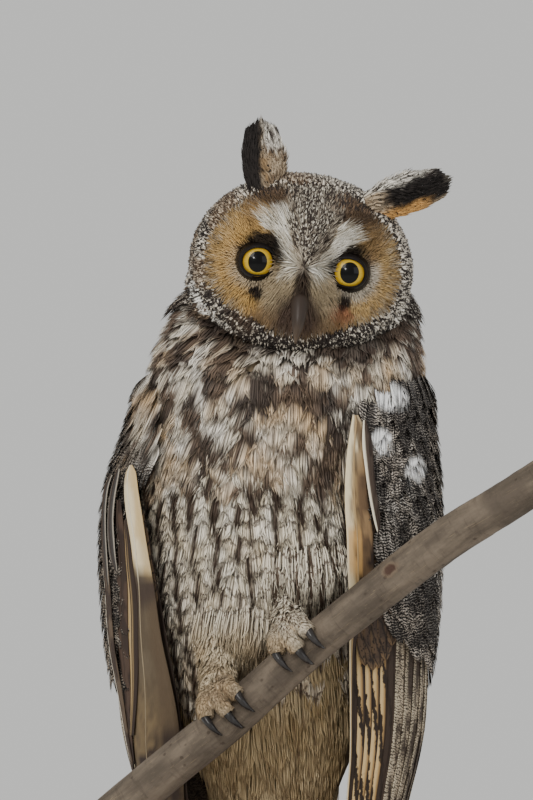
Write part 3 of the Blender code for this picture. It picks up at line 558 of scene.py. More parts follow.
def wing_angles(side):
    """Angles round the body of the places on a wing's sheet, by height and distance back on a grid."""
    backs = np.arange(*SCRAPS)
    heights = np.arange(*LEVELS)
    rows = []
    for height in heights:
        edge = float(leading_edge[side](height))
        angles = edge + np.radians(np.arange(-60, 150, 1.0))
        path = wing_surface(angles, height)
        steps = np.linalg.norm(np.diff(path, axis=0), axis=1)
        reach = np.concatenate([[0], np.cumsum(steps)])
        reach = (reach - np.interp(edge, angles, reach)) / WING_SPREAD[side]
        rows.append(np.interp(backs, reach, angles))
    return np.array(rows)


def wing_sheet(side):
    grid = wing_angles(side)

    def point(back, height, out=0.0):
        back, height, out = np.broadcast_arrays(np.asarray(back, float), np.asarray(height, float), out)
        u = np.clip((back - SCRAPS[0]) / SCRAPS[2], 0, grid.shape[1] - 1.001)
        v = np.clip((height - LEVELS[0]) / LEVELS[2], 0, grid.shape[0] - 1.001)
        i, j = v.astype(int), u.astype(int)
        s, t = v - i, u - j
        low = mix(grid[i, j], grid[i, j + 1], t)
        high = mix(grid[i + 1, j], grid[i + 1, j + 1], t)
        return wing_surface(side * mix(low, high, s), height, out)

    return Sheet(point, (0.5, 0.5), lambda b, h: inside_map((b + 5) / 135, (h - 20) / 290), facing=side)


def body_girth(height):
    """About how far it is round the body at a height."""
    half, front, back = np.moveaxis(body_read(height), -1, 0)[2:]
    return math.pi * (half + (front + back) / 2)


def body_rows(low, high, row_gap, gap, rng, stagger=0.5, columns=0, jitter=0.16):
    """Angles and heights of roots in rows round the body, in as many columns as are given or fit the gap."""
    angles, heights = [], []
    for k, height in enumerate(np.arange(low, high, row_gap)):
        count = columns or max(int(body_girth(height) / gap), 6)
        wander = rng.normal(0, jitter, count) * FULL_TURN / count
        angles.append(turns(count, stagger * (k % 2)) - math.pi + wander)
        heights.append(height + rng.normal(0, jitter, count) * row_gap)
    return np.concatenate(angles), np.concatenate(heights)


BELLY_COLUMNS = 34


def heading_on_body(angle, height, outward):
    along_angle, along_height, _ = body_sheet.axes(angle, height)
    return -unit(along_height) + outward * np.sign(np.sin(angle))[:, None] * unit(along_angle)


# Where the back's feathers begin, as a turn from the body's front
BACK_FROM = math.radians(105)


def open_places(angle, height, front):
    """The places before or behind the body's sides that no folded wing hides."""
    lead = np.where(angle > 0, leading_edge[1](height), leading_edge[-1](height)) + math.radians(16)
    turn = np.abs(angle)
    hidden = (turn > lead) & (turn < trailing_edge(height) - math.radians(14))
    hidden &= (height > 128) & (height < 278)
    keep = ~hidden & ((turn < BACK_FROM) == front)
    return angle[keep], height[keep]


def mottle(points):
    """Chest colours by place: soft dark and pale patches, buff between, and a dark band under the ruff."""
    tall = points * (1, 1, 0.75)
    lump = 0.62 * noise(tall, 7, 5) + 0.38 * noise(tall, 3.4, 9)
    buffed = smoothstep(0.45, 0.65, noise(points, 12, 31)) * noise(tall, 5, 33)
    local = to_head(points)
    rim = np.hypot(local[..., 0] / HEAD_HALF_WIDTH, local[..., 2] / HEAD_BELOW)
    band = smoothstep(1.27, 1.14, rim + 0.3 * (lump - 0.5)) * smoothstep(10, 22, np.abs(local[..., 0]))
    shade = painted((106, 88, 74), (smoothstep(0.3, 0.7, noise(tall, 6, 21)), (62, 52, 47)))
    ground = painted(
        (244, 239, 230),
        (noise(tall, 5, 2), CREAM),
        (0.9 * buffed, (206, 166, 112)),
        (0.97 * smoothstep(0.455, 0.51, lump), shade),
        (0.92 * band, (60, 48, 41)),
    )
    return ground, linear(78, 65, 56), (0.08, 0.0, 0.0)


# Feathers of the belly, and looser ones below it
BELLY_LOOK = dict(locks=28, ragged=0.09, splay=0.08, loft=0.5)
VENT_LOOK = dict(locks=22, ragged=0.13, splay=0.15, loft=1.2)


def make_body_coat(material):
    """Breast, belly, mantle and vent."""
    rng = np.random.default_rng(21)
    chest, belly, back, vent = Coat(), Coat(), Coat(), Coat()

    def lay(angle, height, length, half, **settings):
        length = length * rng.uniform(0.88, 1.1, len(angle))
        return Fans(body_sheet, angle, height, heading_on_body(angle, height, 0.12), length, half, rng,
                    droop=0.1, **settings)

    places = body_rows(110, 268, 6.9, 0, rng, stagger=0.1, columns=BELLY_COLUMNS, jitter=0.1)
    angle, height = open_places(*places, front=True)
    raised = 18 * smoothstep(-45, -20, body_point(angle, height)[:, 0])
    low = smoothstep(178, 150, height - raised + 6 * np.cos(3 * angle) + rng.normal(0, 5, len(height)))
    for coat, chosen, size, look in ((belly, low < 0.5, 23, BELLY_LOOK), (vent, low >= 0.5, 26, VENT_LOOK)):
        a, h = angle[chosen], height[chosen]
        fans = lay(a, h, size, 0.72 * body_girth(h) / BELLY_COLUMNS + 0.6, stations=(0, 0.4, 0.8, 1),
                   depth=(-5, -0.4), ridge=0.13, full=2.3, **look)
        fine, lump = noise(fans.roots, 6, 9), noise(fans.roots, 17, 31)
        if coat is vent:
            ground = painted((168, 144, 104), (0.6 * fine, (204, 186, 152)))
            coat.add(fans, ground, BROWN, stacked(0.12 * lump, 0, 0))
            continue
        place = fans.points
        buff = smoothstep(205, 160, place[..., 2]) * 0.6 + 0.5 * smoothstep(0.45, 0.7, noise(place, 9, 31))
        ground = painted((250, 245, 234), (noise(place, 4, 9), (230, 215, 186)),
                         (0.6 * buff * noise(place, 5, 35), (200, 164, 112)))
        streak = 0.13 + 0.12 * rng.uniform(0, 1, len(a)) + 0.12 * smoothstep(235, 262, h)
        ink = painted((74, 61, 52), (0.6 * smoothstep(205, 165, h) * lump, (112, 92, 73)))
        coat.add(fans, ground, ink, stacked(streak, 0.05 + 0.16 * fine, 0))

    a, h = open_places(*body_rows(258, 331, 5.2, 7.6, rng), front=True)
    fans = lay(a, h, mix(20, 13, smoothstep(296, 318, h)), 6.4, locks=24, depth=(-4, -0.2),
               stations=(0, 0.4, 0.78, 1), ragged=0.1, splay=0.09, loft=0.6, ridge=0.12, full=2.5)
    chest.add(fans, *mottle(fans.points + rng.normal(0, 1.1, (len(h), 1, 3))))

    a, h = open_places(*body_rows(110, 334, 5.2, 7.4, rng), front=False)
    fans = lay(a, h, np.where(h > 308, 17, 25), 6.8, locks=12, depth=(-5, -0.4),
               ragged=0.12, splay=0.12, loft=0.8)
    nape = smoothstep(280, 300, h)
    ground = painted((160, 148, 132), (0.35 * noise(fans.roots, 8, 9), BUFF), (0.35 * nape, BUFF))
    back.add(fans, ground, DARK, stacked(mix(0.2, 0.3, nape), 0.25, mix(0.6, 0.45, nape)))
    pieces = (("coat_breast", chest), ("coat_belly", belly), ("coat_mantle", back), ("coat_vent", vent))
    return [coat.piece(name, material) for name, coat in pieces]


def near(x, z, cx, cz, hx, hz, soft=0.35):
    """1 inside an oval and 0 outside it, with a soft edge."""
    away = np.hypot((x - cx) / hx, (z - cz) / hz)
    return smoothstep(1 + soft, 1 - soft, away)


def rim_share(x, z):
    """How far out on the face a place is: 1 at the rim of the disc."""
    low = smoothstep(0.2, 0.95, -z / np.maximum(np.hypot(x, z), 1e-6))
    return out_share(x, z) / mix(0.93, 0.85, low)


# Pale brows by the owl's side: height, and how far from the middle their inner and outer edges are
BROW_EDGES = {
    -1: ((-5, 0.4, 9.8), (0.5, 1.6, 8.4), (5, 3.9, 9.0), (9.5, 5.6, 11.2), (12, 6.3, 14), (15, 6.9, 17.8),
         (16.5, 7, 21.5), (19, 6.9, 20.8), (21.3, 6.9, 18), (23.5, 9, 13.5)),
    1: ((-5, 0.4, 9.8), (0.5, 3.5, 10.1), (4.2, 6.2, 11.2), (7.5, 7.8, 13.8), (10.5, 9.0, 17.5),
        (13.6, 10.2, 22.3), (15.2, 10.8, 23), (17, 11.5, 21.5), (19.7, 13.5, 17.5)),
}


def brow_share(x, z):
    """1 in the pale brows, which run up and out from the root of the bill."""
    a = np.abs(x)
    share = np.zeros(np.shape(a))
    for side, edges in BROW_EDGES.items():
        at, inner, outer = zip(*edges)
        low, high = np.interp(z, at, inner), np.interp(z, at, outer)
        inside = smoothstep(-0.7, 0.9, a - low) * smoothstep(-0.7, 0.9, high - a)
        inside = inside * smoothstep(at[-1] + 1.0, at[-1] - 0.8, z) * smoothstep(-7, -2, z)
        share = np.where(np.sign(x) == side, inside, share)
    return share


def face_colour(x, z):
    """The colour of the face at a place on it, in the head's frame."""
    spot = stacked(x, z, 0)
    x = x + 1.2 * (noise(spot, 2.2, 3) - 0.5)
    z = z + 1.2 * (noise(spot + 40, 2.2, 4) - 0.5)
    a, right = np.abs(x), x < 0
    from_eye = np.hypot(a - EYE_X, z)
    rim = smoothstep(0.78, 1.0, rim_share(x, z))
    hairs = noise(stacked(x - 0.4 * np.sign(x) * z, 0.25 * z, 0), 0.9, 19)
    pale_brow = painted((190, 181, 163), (smoothstep(0.25, 0.6, hairs), (240, 235, 223)))
    inner = [np.interp(z, *list(zip(*BROW_EDGES[side]))[:2]) for side in (-1, 1)]
    wedge = smoothstep(1.0, -0.6, a - np.where(right, *inner)) * smoothstep(-4.5, -1.5, z)
    speckled = painted((66, 55, 48), (smoothstep(0.44, 0.56, noise(spot, 0.8, 15)), (190, 178, 160)))
    colour = painted(
        (186, 159, 114),
        (np.where(right, 1.0, 0.6) * mix(0.5, 1, noise(spot, 8, 7)), (196, 156, 90)),
        (0.4 * rim, (162, 138, 104)),
        (0.75 * rim * (noise(spot, 0.9, 12) > mix(0.6, 0.48, rim)), (66, 54, 45)),
        (0.6 * rim * (noise(spot, 1.0, 22) > 0.62), (214, 204, 188)),
        (np.where(right, 0.25, 0.8) * smoothstep(14.5, 10, from_eye) * smoothstep(8, 3, z), (204, 198, 188)),
        (0.6 * smoothstep(13, 8.5, from_eye) * smoothstep(0, -4, z), (186, 174, 154)),
        (0.95 * near(x, z, -12, 27, 11, 5.4), (80, 62, 46)),
        (0.95 * near(x, z, 19, 23.5, 11.5, 6.2), (78, 61, 47)),
        (0.75 * near(x, z, 26.5, 13, 5, 9), (118, 93, 64)),
        (0.55 * near(x, z, -22.5, 20, 4.5, 7), (120, 90, 58)),
        (near(a, z, 8, -13, 8.5, 13, 0.3), (178, 160, 130)),
        # Near-black above each eye and on its side towards the bill: partly the owl's own dark feathering,
        # partly painted shadow under the brows.
        (0.97 * near(a, z, 17.0, 8.6, 7.4, 4.0), (22, 18, 17)),
        (0.95 * near(a, z, 10.8, 5.0, 3.0, 6.5), (24, 20, 18)),
        (0.7 * near(a, z, 25.6, 4.0, 1.4, 4.0), (60, 48, 40)),
        (near(a, z, 17.4, -12.0, 2.8, 3.4), (40, 31, 26)),
        (0.75 * near(x, z, 17.5, -17.5, 4.5, 3.6), (150, 92, 70)),
        (0.6 * near(a, z, 12.5, -23, 9, 5), (128, 98, 68)),
        (brow_share(x, z), pale_brow),
        (wedge, speckled),
        (0.95 * near(x, z, 0, -21, 9.0, 10), (84, 67, 59)),
        (0.97 * near(x, z, 0, -8.5, 3.6, 8.5, 0.3), (50, 38, 31)),
    )
    return colour * (0.78 + 0.44 * noise(stacked(x, z, 0), 0.7, 17)[..., None])


def face_flow(x, z):
    """Which way the bristles of the face lie, as across and up in the head's frame."""
    a, side = np.abs(x), np.sign(x)
    radial = unit(stacked(a - EYE_X, z))
    up = 2 * smoothstep(-2.5, 2.5, z) - 1
    centre = unit(stacked(0.08 + 0.05 * a, up))
    flow = mix(radial, centre, smoothstep(15, 8, a)[:, None])
    brow = unit(stacked(0.25 + 0.045 * a, 0.9 - 0.03 * a))
    flow = unit(mix(flow, brow, np.clip(brow_share(x, z) + near(a, z, 12, 12, 8, 9), 0, 1)[:, None]))
    low = near(a, z, 6, -13, 9, 14)
    down = unit(stacked(0.02 + 0.06 * a, -1))
    flow = unit(mix(flow, down, low[:, None]))
    return stacked(flow[:, 0] * side, flow[:, 1])


def scattered(low, high, gap, rng):
    """Places on a jittered grid between two corners."""
    xs = np.arange(low[0], high[0], gap)
    zs = np.arange(low[1], high[1], gap * 0.87)
    x, z = np.meshgrid(xs, zs)
    x = x + 0.5 * gap * (np.arange(len(zs)) % 2)[:, None]
    x, z = x.ravel(), z.ravel()
    return x + rng.normal(0, 0.22, len(x)) * gap, z + rng.normal(0, 0.22, len(z)) * gap


def make_face(material):
    rng = np.random.default_rng(5)
    x, z = scattered((-44, -36), (44, 38), 1.25, rng)
    a = np.abs(x)
    keep = rim_share(x, z) < 1.0
    keep &= np.hypot((a - EYE_X + 0.2) / 7.6, (z - 0.5) / 6.3) > 1
    keep &= ~((a < 2.3) & (z < -12) & (z > -30))
    x, z, a = x[keep], z[keep], a[keep]
    flow = face_flow(x, z)
    heading = stacked(flow[:, 0], 0, flow[:, 1]) @ HEAD_TURN.T
    brow = brow_share(x, z)
    low = near(a, z, 4, -10, 8, 12)
    length = 5.2 + 2.6 * brow + 3.4 * low + rng.uniform(-0.8, 0.8, len(x))
    length *= smoothstep(3, 14, np.hypot(a - EYE_X, z) - 2) * 0.35 + 0.65
    lift = 0.9 + 1.2 * brow + 2.6 * low
    order = np.argsort(lift)
    coat = Coat()
    for group in np.array_split(order, 4):
        top = float(lift[group].mean())
        fans = Fans(face_sheet, x[group], z[group], heading[group], length[group], 0.95, rng, locks=3,
                    stations=(0, 0.5, 1), depth=(-0.8, top), ragged=0.2, splay=0.55, full=0.9, ridge=0.5,
                    loft=0.5, droop=0.0)
        local = to_head(fans.points)
        place = local.reshape(*fans.points.shape) + rng.normal(0, 0.55, (len(group), 1, 3))
        ground = face_colour(place[..., 0], place[..., 2])
        coat.add(fans, ground, ground, (0, 0, 0))
    return coat.piece("face_bristles", material)


def make_ruff(material):
    """The speckled rim round the disc, and the short feathers just behind it."""
    rng = np.random.default_rng(8)
    coat = Coat()
    for k, polar in enumerate((58, 62, 66, 70, 74, 78, 83)):
        count = 110
        turn = turns(count, 0.5 * (k % 2)) + rng.normal(0, 0.012, count)
        below = -np.sin(turn)
        low = smoothstep(0.2, 0.95, below)
        cheek = smoothstep(0.1, 0.45, below) * smoothstep(0.92, 0.6, below)
        polars = polar - 12 * low + rng.normal(0, 0.8, count)
        keep = ~((low > 0.55) & (polars > 62))
        turn, low, cheek, below = turn[keep], low[keep], cheek[keep], below[keep]
        polars = np.radians(polars[keep])
        along, _, normal = shell_sheet.axes(polars, turn)
        lift = mix(0.6, 1.6, low) + 4.5 * cheek * smoothstep(66, 78, polar)
        length = rng.uniform(7.5, 9.5, len(turn)) * (1 - 0.35 * low * (1 - cheek) + 0.35 * cheek)
        fans = Fans(shell_sheet, polars, turn, unit(along), length, 2.5, rng, locks=7, depth=(-1.2, 1.6),
                    stations=(0, 0.4, 0.8, 1), ragged=0.12, splay=0.1, loft=0.6, full=2.0, ridge=0.2)
        rise = lift[:, None, None] * (fans.vane[..., 1:2] ** 1.5) * normal[:, None]
        fans.points = fans.points + rise
        spot = fans.roots
        brown = smoothstep(0.35, 0.7, noise(spot, 9, 2)) * smoothstep(0.3, -0.3, np.cos(turn))
        fleck = cheek * (64 < polar < 76) * mix(1.0, 0.4, smoothstep(-0.2, 0.2, np.cos(turn)))
        pale = painted((218, 209, 194), (0.7 * brown, (170, 146, 116)), (fleck, (246, 243, 236)))
        ink = painted((48, 41, 38), (brown, (84, 67, 52)))
        specks = mix(0.5, 0.75, noise(spot, 7, 6)) + 0.25 * low * (1 - fleck) - 0.2 * fleck
        coat.add(fans, pale, ink, stacked(0.1, 0, specks))
    return coat.piece("ruff", material)


def make_crown(material):
    """Feathers of the crown, the sides of the head and the nape."""
    rng = np.random.default_rng(9)
    coat = Coat()
    for k, polar in enumerate(np.arange(72, 128, 4.2)):
        count = int(FULL_TURN * 40 * math.sin(math.radians(polar)) / 3.6)
        turn = turns(count, 0.5 * (k % 2)) + rng.normal(0, 0.02, count)
        polars = np.radians(polar + rng.normal(0, 0.9, count))
        roots = shell_point(polars, turn)
        heading = np.array([0, 1.0, -0.55]) * np.ones((count, 1))
        keep = roots[:, 2] > 296
        fans = Fans(shell_sheet, polars[keep], turn[keep], heading[keep], rng.uniform(10, 12.5, keep.sum()),
                    3.1, rng, locks=6, depth=(-2.2, 0.3), ragged=0.12, splay=0.14, loft=0.6)
        join_crown(fans, coat)
    x, z = scattered((-36, -28), (36, 31), 3.9, rng)
    keep = np.hypot(x / HEAD_HALF_WIDTH, z / 36) < 0.86
    x, z = x[keep], z[keep]
    heading = np.array([0, 0.3, -1.0]) * np.ones((len(x), 1))
    fans = Fans(nape_sheet, x, z, heading, rng.uniform(12, 15, len(x)), 3.6, rng, locks=7, depth=(-2.4, 0.4),
                ragged=0.12, splay=0.14, loft=0.6)
    join_crown(fans, coat)
    for height, low_angle in ((334, 70), (330, 66), (326, 64)):
        angle = np.radians(np.concatenate([np.arange(low_angle, 181, 4.4), -np.arange(low_angle, 181, 4.4)]))
        angle = angle + rng.normal(0, 0.03, len(angle))
        level = height + rng.normal(0, 1.0, len(angle))
        length = rng.uniform(15, 21, len(angle))
        fans = Fans(body_sheet, angle, level, heading_on_body(angle, level, 0.0), length, 4.2, rng,
                    locks=8, depth=(-3.2, 1.3), ragged=0.16, splay=0.14, loft=0.8)
        join_crown(fans, coat)
    return coat.piece("crown", material)


def join_crown(fans, coat):
    local = to_head(fans.roots)
    behind = smoothstep(5, 30, local[:, 1])
    fine = noise(fans.roots, 6, 4)
    ground = painted((206, 200, 190), (0.6 * behind * fine, BUFF), (0.3 * fine, GREY_BROWN))
    marks = stacked(0.2 + 0.2 * behind, 0.15 * behind, 0.78 - 0.3 * behind)
    coat.add(fans, ground, linear(56, 48, 44), marks)


def make_forehead(material):
    """Short speckled feathers between the brows and over them."""
    rng = np.random.default_rng(10)
    x, z = scattered((-32, -3), (32, 35), 1.9, rng)
    a = np.abs(x)
    wedge = (a < 0.42 * (z + 3)) & (a < 9.5)
    over = (z > 23 - 0.1 * a) & (rim_share(x, z) > 0.6)
    keep = (wedge | over) & (brow_share(x, z) < 0.4) & (rim_share(x, z) < 1.04)
    x, z = x[keep], z[keep]
    heading = stacked(0.25 * x / 10, 0, 1) @ HEAD_TURN.T
    fans = Fans(face_sheet, x, z, heading, rng.uniform(5, 7, len(x)), 1.6, rng, locks=4, depth=(-1.0, 1.1),
                ragged=0.15, splay=0.16, loft=0.5)
    a = np.abs(x)
    dark = near(a, z, 15.5, 23.5, 9, 5)
    ground = painted((206, 198, 182), (dark, (104, 84, 66)))
    coat = Coat()
    coat.add(fans, ground, linear(54, 45, 40), stacked(0.15 + 0.2 * dark, 0, mix(0.7, 0.4, dark)))
    return coat.piece("forehead", material)


TUFTS = {
    "right": ((-18.6, -14, 29.5), (-23.4, -9, 57.0), 8.1),
    "left": ((25.6, -14, 28.0), (55.4, -7, 42.5), 7.6),
}


def make_tuft(which, material):
    """An ear tuft: long feathers in three layers, closing to a blunt tip."""
    root, tip, wide = (np.array(v, float) for v in TUFTS[which])
    rng = np.random.default_rng(31 if which == "left" else 30)
    way = tip - root
    length = float(np.linalg.norm(way))
    way = way / length
    face = np.array([0, -1.0, 0])
    face = face - face.dot(way) * way
    face = face / np.linalg.norm(face)
    across = np.cross(way, face)
    depth_of = table(((0, 5.5), (0.5, 5.0), (1, 1.5)))
    width_of = table(((-0.3, 0.7), (0, 0.82), (0.25, 0.98), (0.55, 1.0), (0.85, 0.72), (1, 0.35)))

    def point(u, v):
        """u is a turn round the tuft from its front, v is the share along it."""
        u, v = np.broadcast_arrays(np.asarray(u, float), np.asarray(v, float))
        w = float(wide) * width_of(v) * np.sin(u)
        d = depth_of(np.clip(v, 0, 1)) * np.cos(u)
        spot = root + way * (length * v)[..., None] + across * w[..., None] + face * d[..., None]
        return from_head(spot)

    sheet = Sheet(point, (1e-3, 1e-3), lambda u, v: turn_map(u, (v + 0.3) / 1.3))
    sheet.facing = int(np.sign(np.dot(sheet.axes(np.array([0.0]), np.array([0.3]))[2][0], HEAD_TURN @ face)))
    coat = Coat()
    heading = (HEAD_TURN @ way)[None]
    for row, start in enumerate(np.arange(-0.25, 0.72, 0.08)):
        count = 22
        turn = turns(count, 0.5 * (row % 2)) - math.pi + rng.normal(0, 0.05, count)
        share = start + rng.normal(0, 0.02, count)
        long = np.minimum(length * (1.03 - share - 0.16 * np.abs(np.sin(turn))), 14)
        long = long * rng.uniform(0.9, 1.08, count)
        fans = Fans(sheet, turn, share, np.repeat(heading, count, 0), long, 2.3, rng, locks=5,
                    depth=(-1.4, 0.3), ragged=0.1, splay=0.16, loft=0.5, droop=0.05)
        coat.add(fans, *tuft_colour(which, fans))
    count = 44
    side = -1 if which == "left" else 1
    turn = side * rng.uniform(0.5, 2.6, count)
    share = rng.uniform(-0.1, 0.35, count)
    aside = HEAD_TURN @ (way - side * 0.45 * across * np.sign(across[0]))
    fans = Fans(sheet, turn, share, np.repeat(aside[None], count, 0), rng.uniform(8, 12, count), 2.2, rng,
                locks=6, depth=(-1.0, 1.6), ragged=0.15, splay=0.25, loft=1.0)
    coat.add(fans, *tuft_colour(which, fans))
    return coat.piece(f"tuft_{which}_feathers", material)


def tuft_colour(which, fans):
    """A black outer half or middle, a ticked pale edge, and buff and brown at the root."""
    local = to_head(fans.points)
    root, tip, wide = (np.array(v, float) for v in TUFTS[which])
    way = (tip - root)[[0, 2]]
    reach = np.linalg.norm(way)
    way = way / reach
    spot = local[..., [0, 2]] - root[[0, 2]]
    share = spot @ way / reach
    inner = (spot @ np.array([way[1], -way[0]])) / wide
    fine = noise(fans.points, 3, 8) - 0.5
    ticks = smoothstep(0.5, 0.6, noise(fans.points, 1.3, 14))
    if which == "left":
        inner = -inner
    inner = inner + 0.35 * fine
    share = share + 0.15 * fine
    black = linear(34, 29, 27)
    pale = painted((224, 218, 206), (ticks, (60, 52, 48)))
    fluff = painted((168, 150, 126), (ticks, (112, 94, 75)))
    if which == "right":
        ground = painted(
            fluff,
            (smoothstep(0.1, -0.15, inner - 0.25 * share + 0.14), black),
            (0.7 * near(inner, share, 0.1, 0.3, 0.22, 0.2), (150, 122, 86)),
            (smoothstep(0.0, 0.25, inner) * smoothstep(0.42, 0.6, share), pale),
        )
    else:
        ground = painted(
            fluff,
            (smoothstep(0.08, 0.2, share) * smoothstep(-0.85, -0.6, inner), black),
            (smoothstep(-0.4, -0.7, inner) * smoothstep(0.75, 0.55, share), (206, 156, 92)),
            (smoothstep(0.5, 0.72, inner) * smoothstep(1.0, 0.8, share), pale),
            (0.8 * smoothstep(0.9, 1.0, share), (150, 142, 130)),
        )
    return ground, black, (0.0, 0.0, 0.2)


def rings_mesh(rings, closed=True):
    """Points and faces through rings of equally many points, with a cap on each end."""
    rings = np.asarray(rings)
    rows, count = rings.shape[:2]
    faces = []
    if closed:
        faces += [tuple(range(count))[::-1], tuple(range((rows - 1) * count, rows * count))]
    for r in range(rows - 1):
        for k in range(count):
            here, beside = r * count + k, r * count + (k + 1) % count
            faces.append((here, beside, beside + count, here + count))
    return rings.reshape(-1, 3), faces


def tube_rings(path, radii, sides, up, flat=1.0):
    path, up = np.asarray(path, float), np.asarray(up, float)
    rings = []
    for k, middle in enumerate(path):
        along = path[min(k + 1, len(path) - 1)] - path[max(k - 1, 0)]
        along = along / np.linalg.norm(along)
        across = np.cross(along, up)
        across = across / np.linalg.norm(across)
        rise = np.cross(across, along)
        turn = turns(sides, 0.5)
        way = np.cos(turn)[:, None] * across + flat * np.sin(turn)[:, None] * rise
        rings.append(middle + radii[k] * way)
    return np.array(rings)


def smooth_path(points, count):
    """A curve through a few points, as many points."""
    read = smooth_rows(np.column_stack([np.arange(len(points)), points]))
    return read(np.linspace(0, len(points) - 1, count))


def turn_out(obj):
    shape = bmesh.new()
    shape.from_mesh(obj.data)
    bmesh.ops.recalc_face_normals(shape, faces=shape.faces)
    shape.to_mesh(obj.data)
    shape.free()
    return obj


def closed_piece(name, rings, material):
    """A closed piece through rings of points, with its faces turned out."""
    return turn_out(mesh_piece(name, *rings_mesh(rings), material))


def eye_place(side, x, z, radius):
    """A point on a ball round an eye's middle, in front of a place on its opening."""
    y = -EYE_DEPTH - np.sqrt(np.maximum(radius**2 - x**2 - z**2, 0))
    return from_head(stacked(side * EYE_X + x, y, z))


def make_eye(side, name, material):
    """An eyeball whose points carry how far they are from the middle of the pupil."""
    rings, reads = [], []
    for polar in np.concatenate([np.linspace(0.02, 1.1, 40), np.linspace(1.2, math.pi - 0.02, 14)]):
        turn = turns(64)
        x = EYE_RADIUS * math.sin(polar) * np.cos(turn)
        z = EYE_RADIUS * math.sin(polar) * np.sin(turn)
        y = -EYE_RADIUS * math.cos(polar)
        rings.append(from_head(stacked(side * EYE_X + x, y - EYE_DEPTH, z)))
        reads.append(stacked(x / EYE_RADIUS, z / EYE_RADIUS, polar))
    obj = closed_piece(name, rings, material)
    carry(obj, "gaze", reads)
    return obj


OPENING = (6.5, 5.4)
OPENING_TURN = math.radians(10)
LID_PROFILE = ((1.0, 8.7), (1.0, 9.3), (1.06, 9.7), (1.16, 9.85), (1.26, 9.7), (1.34, 9.4), (1.38, 9.0))
LID_MIDDLE = {-1: (0.25, 0.3), 1: (-0.25, 0.1)}


def make_lids(side, name, material):
    """Dark lids round an eye's opening, thick towards the bill and above, thin below."""
    turn = turns(96)
    nose = -np.cos(turn) * side
    over = smoothstep(-0.4, 0.9, 0.75 * nose + 0.65 * np.sin(turn))
    point = 1 + 0.16 * np.maximum(0, nose * 0.8 - np.sin(turn) * 0.6) ** 6
    c, s = math.cos(side * OPENING_TURN), math.sin(side * OPENING_TURN)
    rings = []
    for share, radius in LID_PROFILE:
        wide = point * (1 + (share - 1) * (0.3 + 0.15 * np.abs(np.cos(turn)) + 0.75 * over))
        x, z = OPENING[0] * wide * np.cos(turn), OPENING[1] * wide * np.sin(turn)
        z = np.where(z > 0, z * 0.97, z)
        x, z = c * x + s * z + LID_MIDDLE[side][0], -s * x + c * z + LID_MIDDLE[side][1]
        ripple = 0.1 * np.sin(11 * turn + 3 * share) * (share > 1.05)
        rings.append(eye_place(side, x, z, radius + ripple))
    rings.append(eye_place(side, 0.97 * x, 0.97 * z, 8.0))
    return mesh_piece(name, *rings_mesh(rings, closed=False), material)


BILL_PATH = ((0, -30, -12), (0, -36.5, -13.5), (0, -41, -18), (0, -43, -24), (0, -41.3, -30.5))
BILL_RADII = (3.6, 3.7, 3.2, 2.2, 0.4)
LOWER_PATH = ((0, -28, -13), (0, -34.5, -16.5), (0, -39.2, -21.5))
LOWER_RADII = (4.0, 3.1, 1.0)


def make_bill(name, path, radii, material, keel):
    """One half of the bill: a tapered tube along a path, pinched to a keel in front."""
    rings = tube_rings(from_head(smooth_path(path, 40)), smooth_path(radii, 40)[:, 0], 28, (0, 1, 0.2), 1.25)
    spine = rings.mean(1, keepdims=True)
    away = rings - spine
    pinch = 1 + keel * np.clip(-unit(away)[..., 1:2], 0, 1) ** 6
    return closed_piece(name, spine + away * pinch, material)


def perch_frame(x):
    x = np.atleast_1d(np.asarray(x, float))

    def middle(place):
        return stacked(place, PERCH_DEPTH + PERCH_DEPTH_SLOPE * place, perch_read(place)[:, 0])

    along = unit(middle(x + 1) - middle(x - 1))
    front = unit(np.cross(along, (0, 0, 1.0)))
    return middle(x), along, front, np.cross(front, along)


def make_perch(material, wood):
    """The branch: bark with shallow wrinkles, one knot, and a sawn face on each end."""
    first, last = PERCH_ROWS[0][0], PERCH_ROWS[-1][0]
    xs, sides = np.linspace(first, last, 330), 110
    middle, _, front, up = perch_frame(xs)
    radius = perch_read(xs)[:, 1]
    turn = turns(sides)
    around = np.cos(turn)[None, :, None] * front[:, None] + np.sin(turn)[None, :, None] * up[:, None]
    spot = stacked(0.45 * xs[:, None], 12 * np.cos(turn), 12 * np.sin(turn))
    swell = 0.5 * (noise(spot, 9, 1) - 0.5) + 0.3 * (noise(spot * 2.5, 4, 2) - 0.5) - 0.35
    knot = np.hypot((xs[:, None] - KNOT[0]) / 4.5, (turn[None] - KNOT[1]) * 9 / 3.2)
    swell = swell + 1.1 * np.exp(-(knot**2)) - 1.5 * np.exp(-((knot / 0.45) ** 2))
    ends = smoothstep(0, 1.0, np.minimum(xs - first, last - xs))[:, None]
    points = middle[:, None] + around * (radius[:, None] + swell - 0.5 * (1 - ends))[..., None]
    obj = closed_piece("perch_bark", points, material)
    obj.data.materials.append(wood)
    for face in obj.data.polygons:
        if len(face.vertices) > 4:
            face.material_index = 1
    carry(obj, "bark", stacked(xs[:, None], BARK_RADIUS * np.cos(turn), BARK_RADIUS * np.sin(turn)))
    return obj


FOOT_X = {"right": -25, "left": 3}
# Each toe: name, shift along the perch at its root and end, and the degrees up from the front that it spans
TOES = (
    ("inner", 3.5, 8, 84, 12), ("middle", 0, 0, 84, -2),
    ("outer", -3.5, -8.5, 84, 22), ("hind", 0, 1, 96, 172),
)
TOE_RADIUS, TOE_TAPER, CLAW_SUNK, CLAW_TURN, CLAW_RADIUS, CLAW_BOW = 3.9, 0.72, 4, 56, 2.0, 1.2


def toe_point(foot_x, angle, shift, lift):
    middle, along, front, up = (v[0] for v in perch_frame(foot_x))
    turn = math.radians(angle)
    radius = perch_read(np.array([float(foot_x)]))[0, 1] + lift
    return middle + radius * (math.cos(turn) * front + math.sin(turn) * up) + shift * along


